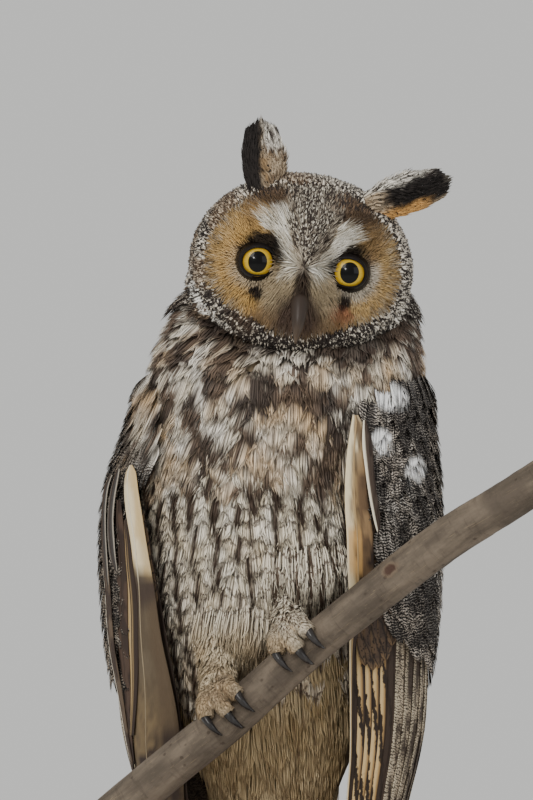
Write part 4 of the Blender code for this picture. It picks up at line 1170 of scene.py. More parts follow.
def toe_path(which, toe, count=14):
    _, shift_root, shift_end, begin, end = toe
    path, radii = [], []
    for t in np.linspace(0, 1, count):
        radius = mix(1, TOE_TAPER, t) * TOE_RADIUS
        path.append(toe_point(FOOT_X[which], mix(begin, end, t), mix(shift_root, shift_end, t), radius))
        radii.append(radius)
    return np.array(path), np.array(radii)


def make_claw(which, toe, material):
    label, _, shift_end, begin, end = toe
    turn = -1 if begin > end else 1
    toe_radius = TOE_RADIUS * TOE_TAPER
    path, radii = [], []
    for t in np.linspace(0, 1, 22):
        radius = mix(CLAW_RADIUS, 0.25, t**1.3)
        lift = toe_radius + 0.3 + CLAW_BOW * math.sin(math.pi * t) - t * (toe_radius - radius)
        path.append(toe_point(FOOT_X[which], end - turn * CLAW_SUNK + turn * CLAW_TURN * t, shift_end, lift))
        radii.append(radius)
    rings = tube_rings(path, radii, 18, perch_frame(FOOT_X[which])[1][0], 0.95)
    return closed_piece(f"claw_{which}_{label}_horn", rings, material)


ANKLE_WAY = np.array((0.05, 0.62, 0.78)) / np.linalg.norm((0.05, 0.62, 0.78))


def leg_path(which):
    start = toe_point(FOOT_X[which], 90, 0, TOE_RADIUS)
    reach = np.array([-3, 0, 4, 10, 18, 28])
    return start + reach[:, None] * ANKLE_WAY, np.array([4.8, 5.6, 5.6, 6.6, 8.6, 10.2])


def skin_parts():
    """Closed bodies that the skin wraps: body, head, legs and toes, all inside the coat."""
    heights = np.linspace(99, 330, 60)
    turn = turns(72)
    yield rings_mesh(body_point(turn[None], heights[:, None], -5.0))
    polars = np.linspace(0.03, math.pi - 0.03, 48)
    head = shell_point(polars[:, None], turn[None])
    _, _, normals = shell_sheet.axes(*np.broadcast_arrays(polars[:, None], turn[None]))
    yield rings_mesh(head - 1.6 * normals)
    for which in FOOT_X:
        path, radii = leg_path(which)
        yield rings_mesh(tube_rings(path, radii, 24, (1, 0, 0)))
        for toe in TOES:
            path, radii = toe_path(which, toe)
            yield rings_mesh(tube_rings(path, radii * 0.86, 16, perch_frame(FOOT_X[which])[1][0]))


def make_skin(material):
    points, faces, count = [], [], 0
    for part, part_faces in skin_parts():
        points.append(part)
        faces += [tuple(i + count for i in face) for face in part_faces]
        count += len(part)
    obj = turn_out(mesh_piece("skin", np.concatenate(points), faces, material))
    wrap = obj.modifiers.new("wrap", "REMESH")
    wrap.mode = "VOXEL"
    wrap.voxel_size = 1.5 * MM
    smooth = obj.modifiers.new("smooth", "SMOOTH")
    smooth.iterations = 4
    graph = bpy.context.evaluated_depsgraph_get()
    made = bpy.data.meshes.new_from_object(obj.evaluated_get(graph))
    obj.modifiers.clear()
    obj.data = made
    obj.data.shade_smooth()
    obj.data.materials.clear()
    obj.data.materials.append(material)
    count = len(obj.data.vertices)
    points = np.empty(count * 3)
    obj.data.vertices.foreach_get("co", points)
    points = points.reshape(-1, 3) / MM
    local = to_head(points)
    face = (local[:, 1] < -8) & (rim_share(local[:, 0], local[:, 2]) < 1.05)
    legs = smoothstep(202, 190, points[:, 2]) * smoothstep(8, -2, points[:, 1])
    tone = painted((96, 84, 70), (noise(points, 6, 3), (170, 150, 122)), (legs, (186, 166, 138)))
    tone[face] = face_colour(local[face, 0], local[face, 2])
    carry(obj, "ground", with_alpha(tone))
    return obj


def make_foot_coat(material):
    """Downy feathers on the toes, longer ones on the legs, and belly feathers over the legs' tops."""
    rng = np.random.default_rng(14)
    coat = Coat()

    def lay(sheet, u, v, way, length, half, tone, **settings):
        fans = Fans(sheet, u, v, way, length, half, rng, ragged=0.2, **settings)
        place = fans.points
        high = smoothstep(178, 203, place[..., 2] + 12 * (noise(place, 7, 19) - 0.5))
        ground = painted(
            tone,
            (0.6 * noise(place, 5, 9), (176, 146, 104)),
            (0.5 * smoothstep(0.5, 0.8, noise(place * (1, 1, 0.5), 3, 12)), (112, 94, 76)),
            (0.8 * high, (240, 232, 214)),
        )
        coat.add(fans, ground, linear(86, 70, 58), stacked(0.26 * high, 0.1 * high, 0.1))

    def lay_along(sheet, last, rows, each, jitter, low, high, *rest, **settings):
        """Feathers in rows that point along a toe or a leg."""
        v = np.repeat(np.linspace(0.02, last, rows), each) + rng.normal(0, jitter, rows * each)
        u = rng.uniform(-math.pi, math.pi, len(v))
        _, along, _ = sheet.axes(u, v)
        lay(sheet, u, v, unit(along), rng.uniform(low, high, len(u)), *rest, **settings)

    for which, foot_x in FOOT_X.items():
        up = perch_frame(foot_x)[1][0]
        for toe in TOES:
            path, radii = toe_path(which, toe, 30)
            lay_along(tube_sheet(path, 0.92 * radii, up), 0.9, 18, 13, 0.012, 4, 6, 1.7, (176, 160, 136),
                      locks=3, stations=(0, 0.5, 1), depth=(-0.8, 0.7), splay=0.3, loft=0.5)
        path, radii = leg_path(which)
        path, radii = smooth_path(path, 40)[::-1], smooth_path(radii, 40)[::-1, 0]
        lay_along(tube_sheet(path, radii, up), 0.82, 14, 16, 0.015, 10, 14, 3.2, (206, 192, 166), locks=8,
                  depth=(-1.2, 1.8), splay=0.2, loft=1.2)
        around = np.linspace(-1.4, 1.4, 281)
        top = path[0][2]
        spots = [(foot_x + x, top + z) for z in np.arange(4, 16, 3.4) for x in np.arange(-13, 14, 4.4)]
        places = np.array(spots) + rng.normal(0, 0.8, (len(spots), 2))
        angle = np.array([around[np.argmin(np.abs(body_point(around, z)[:, 0] - x))] for x, z in places])
        reach = np.abs(places[:, 0] - foot_x) / 13
        for group, out in ((reach < 0.5, 9.5), (reach >= 0.5, 5.5)):
            a, h = angle[group], places[group, 1]
            lay(body_sheet, a, h, heading_on_body(a, h, 0.0), rng.uniform(22, 27, len(h)), 4.6,
                (206, 191, 164), locks=20, depth=(-4.5, out), splay=0.2, loft=1.6)
    return coat.piece("leg_feathers", material)


def tube_sheet(path, radii, up):
    count = len(path)
    along = unit(np.gradient(path, axis=0))
    across = unit(np.cross(along, up))
    rise = np.cross(across, along)
    at = np.linspace(0, 1, count)
    read = smooth_rows(np.column_stack([at, path, radii, across, rise]))

    def point(u, v):
        u, v = np.broadcast_arrays(np.asarray(u, float), np.asarray(v, float))
        row = read(v)
        middle, radius, side, top = row[..., :3], row[..., 3:4], row[..., 4:7], row[..., 7:10]
        return middle + radius * (np.cos(u)[..., None] * side + np.sin(u)[..., None] * top)

    sheet = Sheet(point, (1e-3, 1e-3), turn_map)
    spot = np.array([0.3]), np.array([0.5])
    away = point(*spot)[0] - read(np.array([0.5]))[0, :3]
    sheet.facing = int(np.sign(sheet.axes(*spot)[2][0].dot(away)))
    return sheet


VANE_WIDTH = table(
    ((0, 0.6), (0.22, 1), (0.7, 1), (0.82, 0.93), (0.9, 0.78), (0.95, 0.58), (0.985, 0.32), (1, 0.08))
)
FLIGHT_TIPS = (
    (35, 4), (22, 5), (24, 7), (29, 9.5), (37, 12), (47, 15), (58, 19), (69, 24), (80, 30), (82, 34),
    (85, 38), (88, 42), (91, 47), (95, 52), (110, 59), (124, 67),
)
FLIGHT_ROOT, FLIGHT_FIRST, FLIGHT_SPACING = 226, 5, 7.1
FLIGHT_DEPTH = table(
    ((22, -1.5), (60, -1.6), (110, -1.2), (150, -2.4), (172, -4.4), (206, -6.8), (226, -8.4))
)
FLIGHT_LEAN = table(((22, 0.5), (60, 0.43), (100, 0.31), (150, 0.235), (226, 0.165)))


def grid_triangles(rows, columns):
    """Triangles of a closed slab between two grids of points, the top one first."""
    back = rows * columns
    faces = []
    for r in range(rows - 1):
        for c in range(columns - 1):
            a, d = r * columns + c, (r + 1) * columns + c + 1
            b, e = a + 1, d - 1
            faces += [(a, b, d), (a, d, e), (a + back, d + back, b + back), (a + back, e + back, d + back)]
    rim = [(0, c) for c in range(columns)] + [(r, columns - 1) for r in range(1, rows)]
    rim += [(rows - 1, c) for c in range(columns - 2, -1, -1)] + [(r, 0) for r in range(rows - 2, 0, -1)]
    for (r, c), (s, d) in zip(rim, rim[1:] + rim[:1]):
        a, b = r * columns + c, s * columns + d
        faces += [(a, b + back, b), (a, a + back, b + back)]
    return np.array(faces)


def straight(root, tip, half, rng, rows=22):
    """Heights, middles and half widths down feathers that run straight from a root to a tip."""
    root, tip = np.asarray(root, float), np.asarray(tip, float)
    s = 1 - (1 - np.linspace(0, 1, rows)) ** 1.25
    wave = 1 + 0.03 * np.sin(9 * s + rng.uniform(0, 6, (len(root), 1)))
    width = np.broadcast_to(half, len(root))[:, None] * VANE_WIDTH(s) * wave
    return mix(root[:, :1], tip[:, :1], s), mix(root[:, 1:], tip[:, 1:], s), width


def edged(rows, count=70):
    """The same for one feather with two given edges: height, front edge and rear edge, from the top down."""
    read = smooth_rows(rows[::-1])
    height = np.linspace(rows[0][0], rows[-1][0], count)
    front, rear = read(height).T
    return height[None], (front + rear)[None] / 2, (rear - front)[None] / 2


VANE_THICK, SHAFT_HALF = 0.4, 0.42


class Vanes:
    """Smooth feathers with a shaft, laid down a sheet along their heights, middles and half widths."""

    def __init__(self, place, lines, depth, lean, rng, columns=9, cup=0.5, off=0.0):
        height, back, width = lines
        n, rows = height.shape
        c = np.linspace(-1, 1, columns)
        long = height[:, :1] - height[:, -1:]
        s = (height[:, :1] - height) / long
        x = width[..., None] * (c + off * (1 - c**2))
        out = depth(height)[..., None] - lean(height)[..., None] * x + cup * (1 - c**2) - cup
        out = out + 0.1 * np.sin(2.2 * x + rng.uniform(0, 6, (n, 1, 1))) * s[..., None]
        tall = np.repeat(height[..., None], columns, -1)
        spread = back[..., None] + x
        top = place(spread, tall, out)
        low = place(spread, tall, out - VANE_THICK * mix(1, 0.5, s)[..., None])
        mid = columns // 2
        middle = spread[..., mid]
        wide = np.minimum(mix(SHAFT_HALF, 0.14, s), 0.3 * width)
        rib = [
            place(middle - wide, height, out[..., mid] - 0.05),
            place(middle, height, out[..., mid] + wide),
            place(middle + wide, height, out[..., mid] - 0.05),
        ]
        rib_triangles = strip_triangles(rows + 1)[: 1 + 6 * (rows - 1)]
        chance = rng.uniform(0, 1, (n, 1, 1))
        vane = stacked(c, s[..., None], chance).reshape(n, -1, 3)
        grain = stacked(x, (s * long)[..., None], 50 * chance).reshape(n, -1, 3)
        rib_vane = np.repeat(stacked(0, s, chance[..., 0]), 3, 1)
        rib_grain = np.repeat(stacked(0, s * long, 50 * chance[..., 0]), 3, 1)
        ribs = np.stack(rib, 2).reshape(n, -1, 3)
        self.points = np.concatenate([top.reshape(n, -1, 3), low.reshape(n, -1, 3), ribs], 1)
        self.vane = np.concatenate([vane, vane, rib_vane], 1)
        self.grain = np.concatenate([grain, grain, rib_grain], 1)
        self.height = height[:, :1] - self.vane[..., 1] * long
        self.on_shaft = np.arange(self.points.shape[1]) >= 2 * rows * columns
        self.triangles = np.concatenate([grid_triangles(rows, columns), rib_triangles + 2 * rows * columns])
        self.count = n

    def mapped(self, columns, band=(0.02, 0.98), first=0):
        """Sets the patches: side by side from the first of the columns, in one band of the layout."""
        place = first + np.arange(self.count)[:, None] + 0.5 + 0.4 * self.vane[..., 0]
        self.patch = stacked(place / columns, mix(*band, self.vane[..., 1]))
        return self

    def with_shaft(self, tone, shaft):
        """A colour at each point, with another on the shafts."""
        return np.where(self.on_shaft[None, :, None], shaft, tone)


# Where the long feathers of each wing are, in steps of the solid's feathers
PRIMARIES = {1: (-0.6, 0.1, 0.75, 1.35, 1.95, 2.5, 3.0), -1: tuple(np.arange(0.8, 5, 0.8))}
INNER_FEATHERS = {1: tuple(np.arange(3.2, 15.1, 0.85)), -1: tuple(np.arange(5, 15.1, 0.85))}


def long_feathers(side, places, half, rng):
    places = np.array(places)
    tips = [np.interp(places, np.arange(len(FLIGHT_TIPS)), column) for column in zip(*FLIGHT_TIPS)]
    root = np.column_stack([FLIGHT_ROOT + 0 * places, FLIGHT_FIRST + FLIGHT_SPACING * places])
    lines = straight(root, np.column_stack(tips), half, rng, rows=40)
    return Vanes(wing_sheet(side).point, lines, FLIGHT_DEPTH, FLIGHT_LEAN, rng, columns=13)


# Feathers seen whole at a wing's front: height, front edge and rear edge, from the top down
LEAD_FEATHERS = {
    1: {
        "edge": ((274, -9.2, -6.8), (271.6, -9.0, -4.6), (265.2, -8.7, -2.6), (258.4, -8.3, -0.8),
                 (250.4, -7.7, 1.5), (240, -7.1, 3.2), (228, -6.2, 5.0), (209, -6.1, 4.5), (196, -5.8, 1.5),
                 (184, -5.3, -2.3), (171, -5.0, -3.2), (124, -3.3, -2.1), (80, -2, -0.9), (60, -1, -0.6)),
        "second": ((272, -4.4, -3.0), (264, -3.2, 1.2), (252, 0.2, 4.4), (243, 2.4, 6.4), (237, 3.8, 7.6),
                   (232, 5.0, 8.2), (229, 5.9, 7.9), (227.5, 6.4, 7.2)),
    },
    -1: {
        "outer": ((247, 25.5, 27), (244, 24.5, 29.5), (236, 24, 31), (209, 24.5, 33), (189, 26.5, 34.5),
                  (170, 28, 34.5), (152, 29, 34), (134, 29, 32.5), (126, 30, 31.5)),
        # The gap feather is painted shade: a dark sheet standing for the shadow under the right wing.
        "gap": ((240, 13, 16), (236, 12, 18), (214, 13, 21), (194, 17, 25.5), (176, 20, 28), (151.6, 26, 31),
                (134, 28, 31)),
        "under": ((232, 9, 11), (222, 8.5, 13), (214, 9, 14.8), (189, 12, 19), (176, 15, 21.5),
                  (160, 20, 25.4), (145, 25, 28.8)),
        "main": ((254, 5.0, 6.4), (252.5, 3.0, 8.2), (250, 1.8, 9.2), (245.2, 0.8, 9.7), (235.2, -0.2, 9.2),
                 (222.8, 0.0, 8.6), (210.4, 0.5, 10.8), (194, 1.6, 14.5), (171.6, 1.8, 19.8),
                 (151.6, 1.5, 25.5), (134, 1.2, 28.5), (115, 2, 27), (90, 3, 22), (70, 3.5, 15), (60, 5, 8)),
        "alula low": ((250, 19.5, 21.5), (246, 21, 26), (240, 22, 28.5), (228, 23, 29.5), (216, 23.8, 29),
                      (208, 25, 28), (204, 26, 27)),
        "alula": ((252.5, 12.8, 14.2), (250, 12.4, 16.6), (246, 12.8, 18.8), (240, 14.2, 20.6),
                  (232.8, 15.6, 21.9), (222, 16.4, 22.6), (216, 17, 21.6), (211.5, 18, 19)),
    },
}
# How each of them lies: how far out, how it leans, and how far its middle is off
LEAD_SHAPES = {
    "edge": (0.5, 0.12, -0.25), "second": (0.9, 0.2, 0), "outer": (-0.2, 0.2, 0), "gap": (-0.5, 0.2, 0),
    "under": (0.1, 0.2, 0), "main": (0.7, 0.12, 0.3), "alula low": (0.3, 0.2, 0), "alula": (0.9, 0.2, 0),
}


def spotted(points, size, seed, low=0.45, high=0.6):
    """1 in the lumps of a noise."""
    return smoothstep(low, high, noise(points, size, seed))


def lead_colour(label, vanes):
    """The colours down one of the feathers at a wing's front."""
    across, h = vanes.vane[..., 0], vanes.height
    streaky = vanes.points * (1, 1, 0.4)
    cream, tan, dark = (224, 208, 172), (178, 152, 108), (52, 41, 35)
    if label == "edge":
        blot = smoothstep(229, 222, h) * spotted(streaky, 3.0, 4, 0.42, 0.55) * smoothstep(-0.5, 0.1, across)
        return painted(
            cream,
            (smoothstep(-0.45, 0.0, across) * smoothstep(262, 250, h), tan),
            (smoothstep(-0.1, 0.45, across) * smoothstep(262, 248, h), BROWN),
            (0.8 * spotted(streaky, 2.4, 14) * smoothstep(-0.7, -0.2, across), (150, 122, 88)),
            (0.75 * spotted(streaky, 1.8, 24, 0.55, 0.66) * smoothstep(-0.6, 0.1, across), (84, 66, 50)),
            (0.8 * smoothstep(232, 226, h) * smoothstep(206, 214, h) * (across < 0.3), (196, 152, 92)),
            (np.maximum(blot * smoothstep(196, 204, h), smoothstep(208, 200, h) * (across > -0.2)), dark),
            (smoothstep(-0.7, -0.95, across), cream),
        )
    if label == "second":
        tone = painted((74, 62, 54), (spotted(streaky, 2.0, 16), dark))
        return painted((230, 220, 198), (smoothstep(-0.7, -0.4, across), tone))
    if label == "main":
        lower = painted(
            (94, 83, 67),
            (smoothstep(175, 150, h), (114, 97, 71)),
            (0.7 * spotted(vanes.points * (1, 1, 0.12), 1.8, 17, 0.42), (80, 68, 54)),
            (0.9 * smoothstep(-0.2, -0.75, across), (84, 70, 54)),
            (spotted(streaky, 3, 8, 0.42, 0.52) * smoothstep(152, 143, h), dark),
        )
        band = smoothstep(216, 209, h - 3 * across) * smoothstep(192, 200, h + 4 * across)
        return painted(
            cream,
            # Painted shade: tan over the cream towards the feather's front edge.
            (0.7 * smoothstep(-0.2, -0.9, across), tan),
            (0.6 * spotted(streaky, 4, 3), (196, 168, 118)),
            (smoothstep(213, 205, h), lower),
            (0.92 * band, (62, 51, 44)),
        )
    if label == "under":
        return painted(tan, (smoothstep(0.1, -0.4, across), dark),
                       (0.6 * smoothstep(0.6, 0.9, across), (205, 190, 158)))
    if label == "outer":
        return painted((92, 78, 64), (spotted(streaky, 2.5, 6), DARK),
                       (smoothstep(0.1, 0.5, across) * smoothstep(228, 214, h), (226, 218, 202)))
    # Painted shade: the gap feather is dark brown where the right wing throws its shadow.
    if label == "gap":
        return painted(dark, (0.6 * spotted(streaky, 2.5, 7), (84, 66, 54)))
    return painted((58, 54, 52), (smoothstep(0.1, 0.7, across), (96, 90, 84)),
                   (smoothstep(0.75, 0.95, np.abs(across)), (160, 152, 140)))


def lead_shaft(label, height):
    """The colours of its shaft."""
    if label == "main":
        return painted((150, 136, 112), (smoothstep(204, 216, height), (216, 206, 184)))
    return linear(170, 144, 106) if label == "edge" else linear(70, 58, 50)


def make_flight(side, name, material):
    """Primaries of a folded wing in narrow strips, and the feathers seen whole at its front, one of them
    painted shade.
    """
    rng = np.random.default_rng(40 + side)
    coat = Coat()
    vanes = long_feathers(side, PRIMARIES[side], 5.4, rng)
    across = vanes.vane[..., 0]
    hidden = [k == 0 or k > 4 or side < 0 for k in range(vanes.count)]
    tone = painted((206, 178, 130), (smoothstep(-0.9, -0.6, across), (178, 142, 92)),
                   (smoothstep(-0.7, -0.56, across), (56, 45, 38)))
    tone[hidden] = DARK
    tone = vanes.with_shaft(tone, linear(72, 58, 47))
    bars = np.where(hidden, 0.3, 0.55)
    coat.add(vanes.mapped(12, (0.02, 0.88)), tone, linear(46, 37, 31), stacked(0, bars, 0))
    for slot, (label, rows) in enumerate(LEAD_FEATHERS[side].items()):
        out, lean, off = LEAD_SHAPES[label]
        lead = Vanes(wing_sheet(side).point, edged(rows), lambda h: out + 0 * h, lambda h: lean + 0 * h, rng,
                     columns=17, off=off, cup=0.35)
        tone = lead.with_shaft(lead_colour(label, lead), lead_shaft(label, lead.height))
        low = 0.9 + 0.016 * slot
        coat.add(lead.mapped(1, (low, low + 0.005)), tone, tone, (0, 0, 0))
    return coat.piece(name, material)


def make_inner_flight(side, name, material):
    """Secondaries and the long inner feathers, finely marked, over the rear of the wing."""
    rng = np.random.default_rng(50 + side)
    coat = Coat()
    vanes = long_feathers(side, INNER_FEATHERS[side], 5.6, rng)
    across = vanes.vane[..., 0]
    long = vanes.points * (1, 1, 0.14)
    tone = painted(
        (176, 162, 140),
        (spotted(long, 1.7, 6, 0.4, 0.54), (66, 56, 48)),
        (0.8 * smoothstep(-0.65, -0.95, across) * spotted(long, 3, 8, 0.35, 0.5), (196, 184, 160)),
        (0.85 * smoothstep(-0.2, 0.3, across), (56, 47, 40)),
    )
    tone = vanes.with_shaft(tone, linear(40, 33, 29))
    coat.add(vanes.mapped(16), tone, linear(52, 43, 37), (0.2, 0.35, 0.32))
    return coat.piece(name, material)


# White marks on the left wing, seen from the front: across, height, half width and half height
WHITE_SPOTS = ((32.6, 263.2, 3.9, 4.6), (46, 252.2, 3.9, 5.0), (36, 281, 6.2, 5))


def covert_places(side, rng):
    heights, backs = [], []
    for k, height in enumerate(np.arange(186, 297, 5.6)):
        lead, end = leading_edge[side](height), trailing_edge(height)
        path = wing_surface(np.linspace(lead, end, 40) * side, height)
        reach = np.linalg.norm(np.diff(path, axis=0), axis=1).sum() / WING_SPREAD[side]
        row = np.arange(0.0, reach, 6.6) + 3.3 * (k % 2)
        row = row[rng.uniform(0, 1, len(row)) < 0.3 + 0.7 * smoothstep(190, 208, height)]
        backs.append(row + rng.normal(0, 0.8, len(row)))
        heights.append(height + rng.normal(0, 1.3, len(row)) + 4 * (noise(stacked(row, 0, 0), 9) - 0.5))
    return np.concatenate(backs), np.concatenate(heights)


FIRM_COVERT = dict(locks=17, stations=(0, 0.3, 0.55, 0.72, 0.87, 1), ragged=0.03, splay=0.03, full=2.2,
                   ridge=0.14, loft=0.4)
FURRY_COVERT = dict(locks=26, stations=(0, 0.35, 0.7, 1), ragged=0.12, splay=0.1, full=2.5, ridge=0.12,
                    loft=0.7)


def make_coverts(side, name, material):
    """Small rounded feathers over the roots of the flight feathers, with fine wavy lines."""
    rng = np.random.default_rng(60 + side)
    sheet = wing_sheet(side)
    coat = Coat()
    back, height = covert_places(side, rng)
    keep = ~((back < 13) & (height < 250)) if side > 0 else ~((back < 17) & (height < 262))
    back, height = back[keep], height[keep]
    furry = (side < 0) & (height > 258) & (sheet.point(back, height)[:, 1] < 8)
    for chosen, shape in ((~furry, FIRM_COVERT), (furry, FURRY_COVERT)):
        if chosen.any():
            join_coverts(side, sheet, back[chosen], height[chosen], shape, rng, coat)
    return coat.piece(name, material)


def join_coverts(side, sheet, back, height, shape, rng, coat):
    """Coverts coloured by place: white spots on the left wing, chest colours at the right shoulder."""
    _, along, _ = sheet.axes(back, height)
    size = mix(1.1, 0.85, smoothstep(215, 290, height))
    fans = Fans(sheet, back, height, -unit(along), 22 * size, 6.4 * size, rng, depth=(-5.0, -0.2),
                droop=0.07, **shape)
    fine = noise(fans.roots, 9, 3)
    outer = smoothstep(-20, 25, fans.roots[:, 1])
    ground = painted((184, 180, 174), (0.22 * fine, BUFF), (0.5 * outer, (150, 128, 98)))
    ground = np.repeat(ground[:, None], fans.points.shape[1], 1)
    ink = np.ones(fans.points.shape) * linear(38, 34, 33)
    patches = smoothstep(0.4, 0.6, noise(fans.points * (1, 1, 0.6), 4.6, 17))
    marks = stacked(0.1, 0.92 + 0.85 * patches, 0)
    x, y, z = np.moveaxis(fans.points, -1, 0)
    if side > 0:
        wander = 2.4 * (noise(fans.points, 3.2, 27) - 0.5)
        dots = spotted(fans.points, 1.1, 12, 0.6, 0.66)
        for cx, cz, hx, hz in WHITE_SPOTS:
            white = near(x + wander, z - wander, cx, cz, hx, hz, 0.25) * (y < 10)
            white = white * (1 - 0.9 * dots * (z < cz))
            ground, ink = (painted(base, (white, (250, 250, 250))) for base in (ground, ink))
    else:
        ragged = 14 * (noise(fans.points, 8, 41) - 0.5)
        fluff = smoothstep(250, 262, z + ragged) * smoothstep(14, 2, y + ragged)
        soft, dark, _ = mottle(fans.points)
        ground, ink = painted(ground, (fluff, soft)), painted(ink, (fluff, dark))
        marks = marks * (1 - fluff[..., None])
    coat.add(fans, ground, ink, marks)


def make_primary_coverts(side, name, material):
    """Round-tipped dark coverts over the primaries."""
    rng = np.random.default_rng(80 + side)
    coat = Coat()
    fronts = np.array((-1.2, 1.8, 4.8, 7.6, 10.6, 13.5)) if side > 0 else np.array((4.0, 9, 14, 19, 24, 29))
    tips = np.array((174, 172, 173, 176, 182, 190)) if side > 0 else np.array((196, 194, 196, 199, 204, 208))
    root = np.column_stack([236 + 0 * fronts, fronts + 5.5])
    tip = np.column_stack([tips, fronts + 3.6])
    depth = table(((165, -0.9), (236, -6.0)))
    lines = straight(root, tip, 4.6, rng, rows=26)
    vanes = Vanes(wing_sheet(side).point, lines, depth, lambda h: 0.16 + 0 * h, rng)
    across, along = vanes.vane[..., 0], vanes.vane[..., 1]
    rim = 0.7 * smoothstep(0.93, 1.0, along) + 0.4 * smoothstep(-0.7, -0.95, across)
    tone = painted((66, 54, 47), (spotted(vanes.points, 3, 5), (92, 74, 58)), (rim, (128, 104, 76)))
    tone = vanes.with_shaft(tone, linear(48, 39, 34))
    coat.add(vanes.mapped(12), tone, linear(44, 37, 33), (0.1, 0.2, 0.3))
    return coat.piece(name, material)


# Steps between the tail's feathers, at their tips and up to their roots
TAIL_GAP = 3.3
TAIL_SPACING = table(((28, TAIL_GAP), (96, 1.8)))
TAIL_TIPS = (28, 28.5, 29.5, 31, 33.5)
wing_read = smooth_rows(WING_ROWS)


def tail_point(across, height, out):
    """A point of the tail: how far to the owl's left, height, and how far back."""
    across, height, out = np.broadcast_arrays(across, height, out)
    row = wing_read(height)
    bow = -4.0 * (across / 23) ** 2
    x, y = turned(across, 3.0 + out + bow)
    return stacked(row[..., 0] + x, row[..., 1] + y, height)


def make_tail(material):
    """Six pairs of barred feathers, the middle pair on top, with coverts over and under their roots."""
    rng = np.random.default_rng(90)
    coat = Coat()
    rows = [(side, k) for side in (-1, 1) for k in range(5)] + [(-1, -1), (1, -1)]
    for slot, (side, k) in enumerate(rows):
        if k < 0:
            tip, step, half, back = 27.5, 0.36, 1.58, 2.5 + 0.5 * (side > 0)
        else:
            tip, step, half, back = TAIL_TIPS[k], k + 1.5, 1.4, 0.0

        def place(spread, height, out, step=step):
            gap = TAIL_SPACING(height)
            return tail_point(side * step * gap + spread * gap / TAIL_GAP, height, out)

        def lean(height, turn=side * (k >= 0)):
            return turn * 1.1 / TAIL_SPACING(height)

        lines = straight([(100, 0.0)], [(tip, 0.0)], half * TAIL_GAP, rng, rows=30)
        vanes = Vanes(place, lines, lambda h: back + 0 * h, lean, rng)
        tone = vanes.with_shaft(linear(178, 156, 122), linear(96, 78, 60))
        coat.add(vanes.mapped(24, first=slot), tone, linear(62, 50, 42), (0.0, 0.7, 0.55))
    for tip, back in ((72, 6.0), (64, -4.0)):
        across, level = np.linspace(-11, 11, 9), 112 + 4 * rng.uniform(-1, 1, 9)
        facing = -1 if back > 0 else 1
        sheet = Sheet(lambda a, h: tail_point(a, h, back), (0.1, 0.1),
                      lambda a, h: inside_map((a + 15) / 30, (h - 60) / 60), facing)
        heading = np.tile((0, 0, -1.0), (9, 1))
        fans = Fans(sheet, across, level, heading, level - tip, 5.0, rng, depth=(-1.0, 0.4), ragged=0.1)
        coat.add(fans, linear(170, 148, 116), linear(84, 68, 54), (0.16, 0.5, 0.6))
    return coat.piece("tail_feathers", material)


def eye_material():
    """A black pupil in a yellow iris with fine spokes and a dark rim, under a wet surface."""
    s = Shader("eye_living", Roughness=0.3, Specular_IOR_Level=0.05, Coat_Weight=0.7, Coat_Roughness=0.03,
               Coat_IOR=1.3)
    x, z, polar = s.split(s.attribute("gaze"))
    turn = s.math("ARCTAN2", z, x)
    spoke = {0: s.math("MULTIPLY", turn, 9.0), 1: s.math("MULTIPLY", polar, 2.0)}
    ray = s.node("CombineXYZ", spoke).outputs[0]
    spokes = s.noise(ray, (1, 1, 1), 3.0)
    iris = s.blend(s.step(0.5, 0.74, polar), linear(190, 158, 46), linear(166, 128, 30))
    iris = s.blend(s.math("MULTIPLY", s.step(0.4, 0.75, spokes), 0.4), iris, linear(150, 112, 22))
    iris = s.blend(s.step(0.70, 0.76, polar), iris, linear(18, 14, 12))
    wide, tall = s.math("MULTIPLY", x, 1.08), s.math("MULTIPLY", z, 0.96)
    away = s.math("SQRT", s.math("ADD", s.math("MULTIPLY", wide, wide), s.math("MULTIPLY", tall, tall)))
    wobble = s.math("MULTIPLY_ADD", s.math("SUBTRACT", spokes, 0.5), 0.02, away)
    s.colour(s.blend(s.step(0.472, 0.452, wobble), iris, linear(1, 1, 1)))
    return s.material


def skin_material():
    s = Shader("skin_downy", Roughness=0.9, Specular_IOR_Level=0.2)
    place = s.place()
    down = s.noise(place, (900, 900, 300), 3.0)
    light = s.math("MULTIPLY_ADD", down, 0.5, 0.75)
    s.colour(s.blend(1.0, s.attribute("ground", "Color"), s.grey(light), "MULTIPLY"))
    s.bump(down, 0.0003)
    return s.material


def horn_material(name, dark, pale, pale_from, pale_to, roughness):
    """Horn of the bill or a claw: dark with a paler sheen along its length, scratched finely."""
    s = Shader(name, Roughness=roughness, Specular_IOR_Level=0.35)
    place = s.place()
    streaks = s.noise(place, (700, 700, 180), 4.0)
    height = s.split(place)[2]
    share = s.step(pale_from, pale_to, height)
    tone = s.blend(s.math("MULTIPLY", share, streaks), dark, pale)
    s.colour(tone)
    rough = s.math("MULTIPLY_ADD", streaks, 0.2, roughness - 0.1)
    s.feed(s.main.inputs["Roughness"], rough)
    s.bump(streaks, 0.00008)
    return s.material


def lid_material():
    s = Shader("lid_skin", Roughness=0.6, Specular_IOR_Level=0.15)
    place = s.place()
    folds = s.noise(place, (900, 900, 900), 3.0)
    s.colour(s.blend(folds, linear(6, 5, 5), linear(30, 24, 22)))
    s.bump(folds, 0.0002)
    return s.material


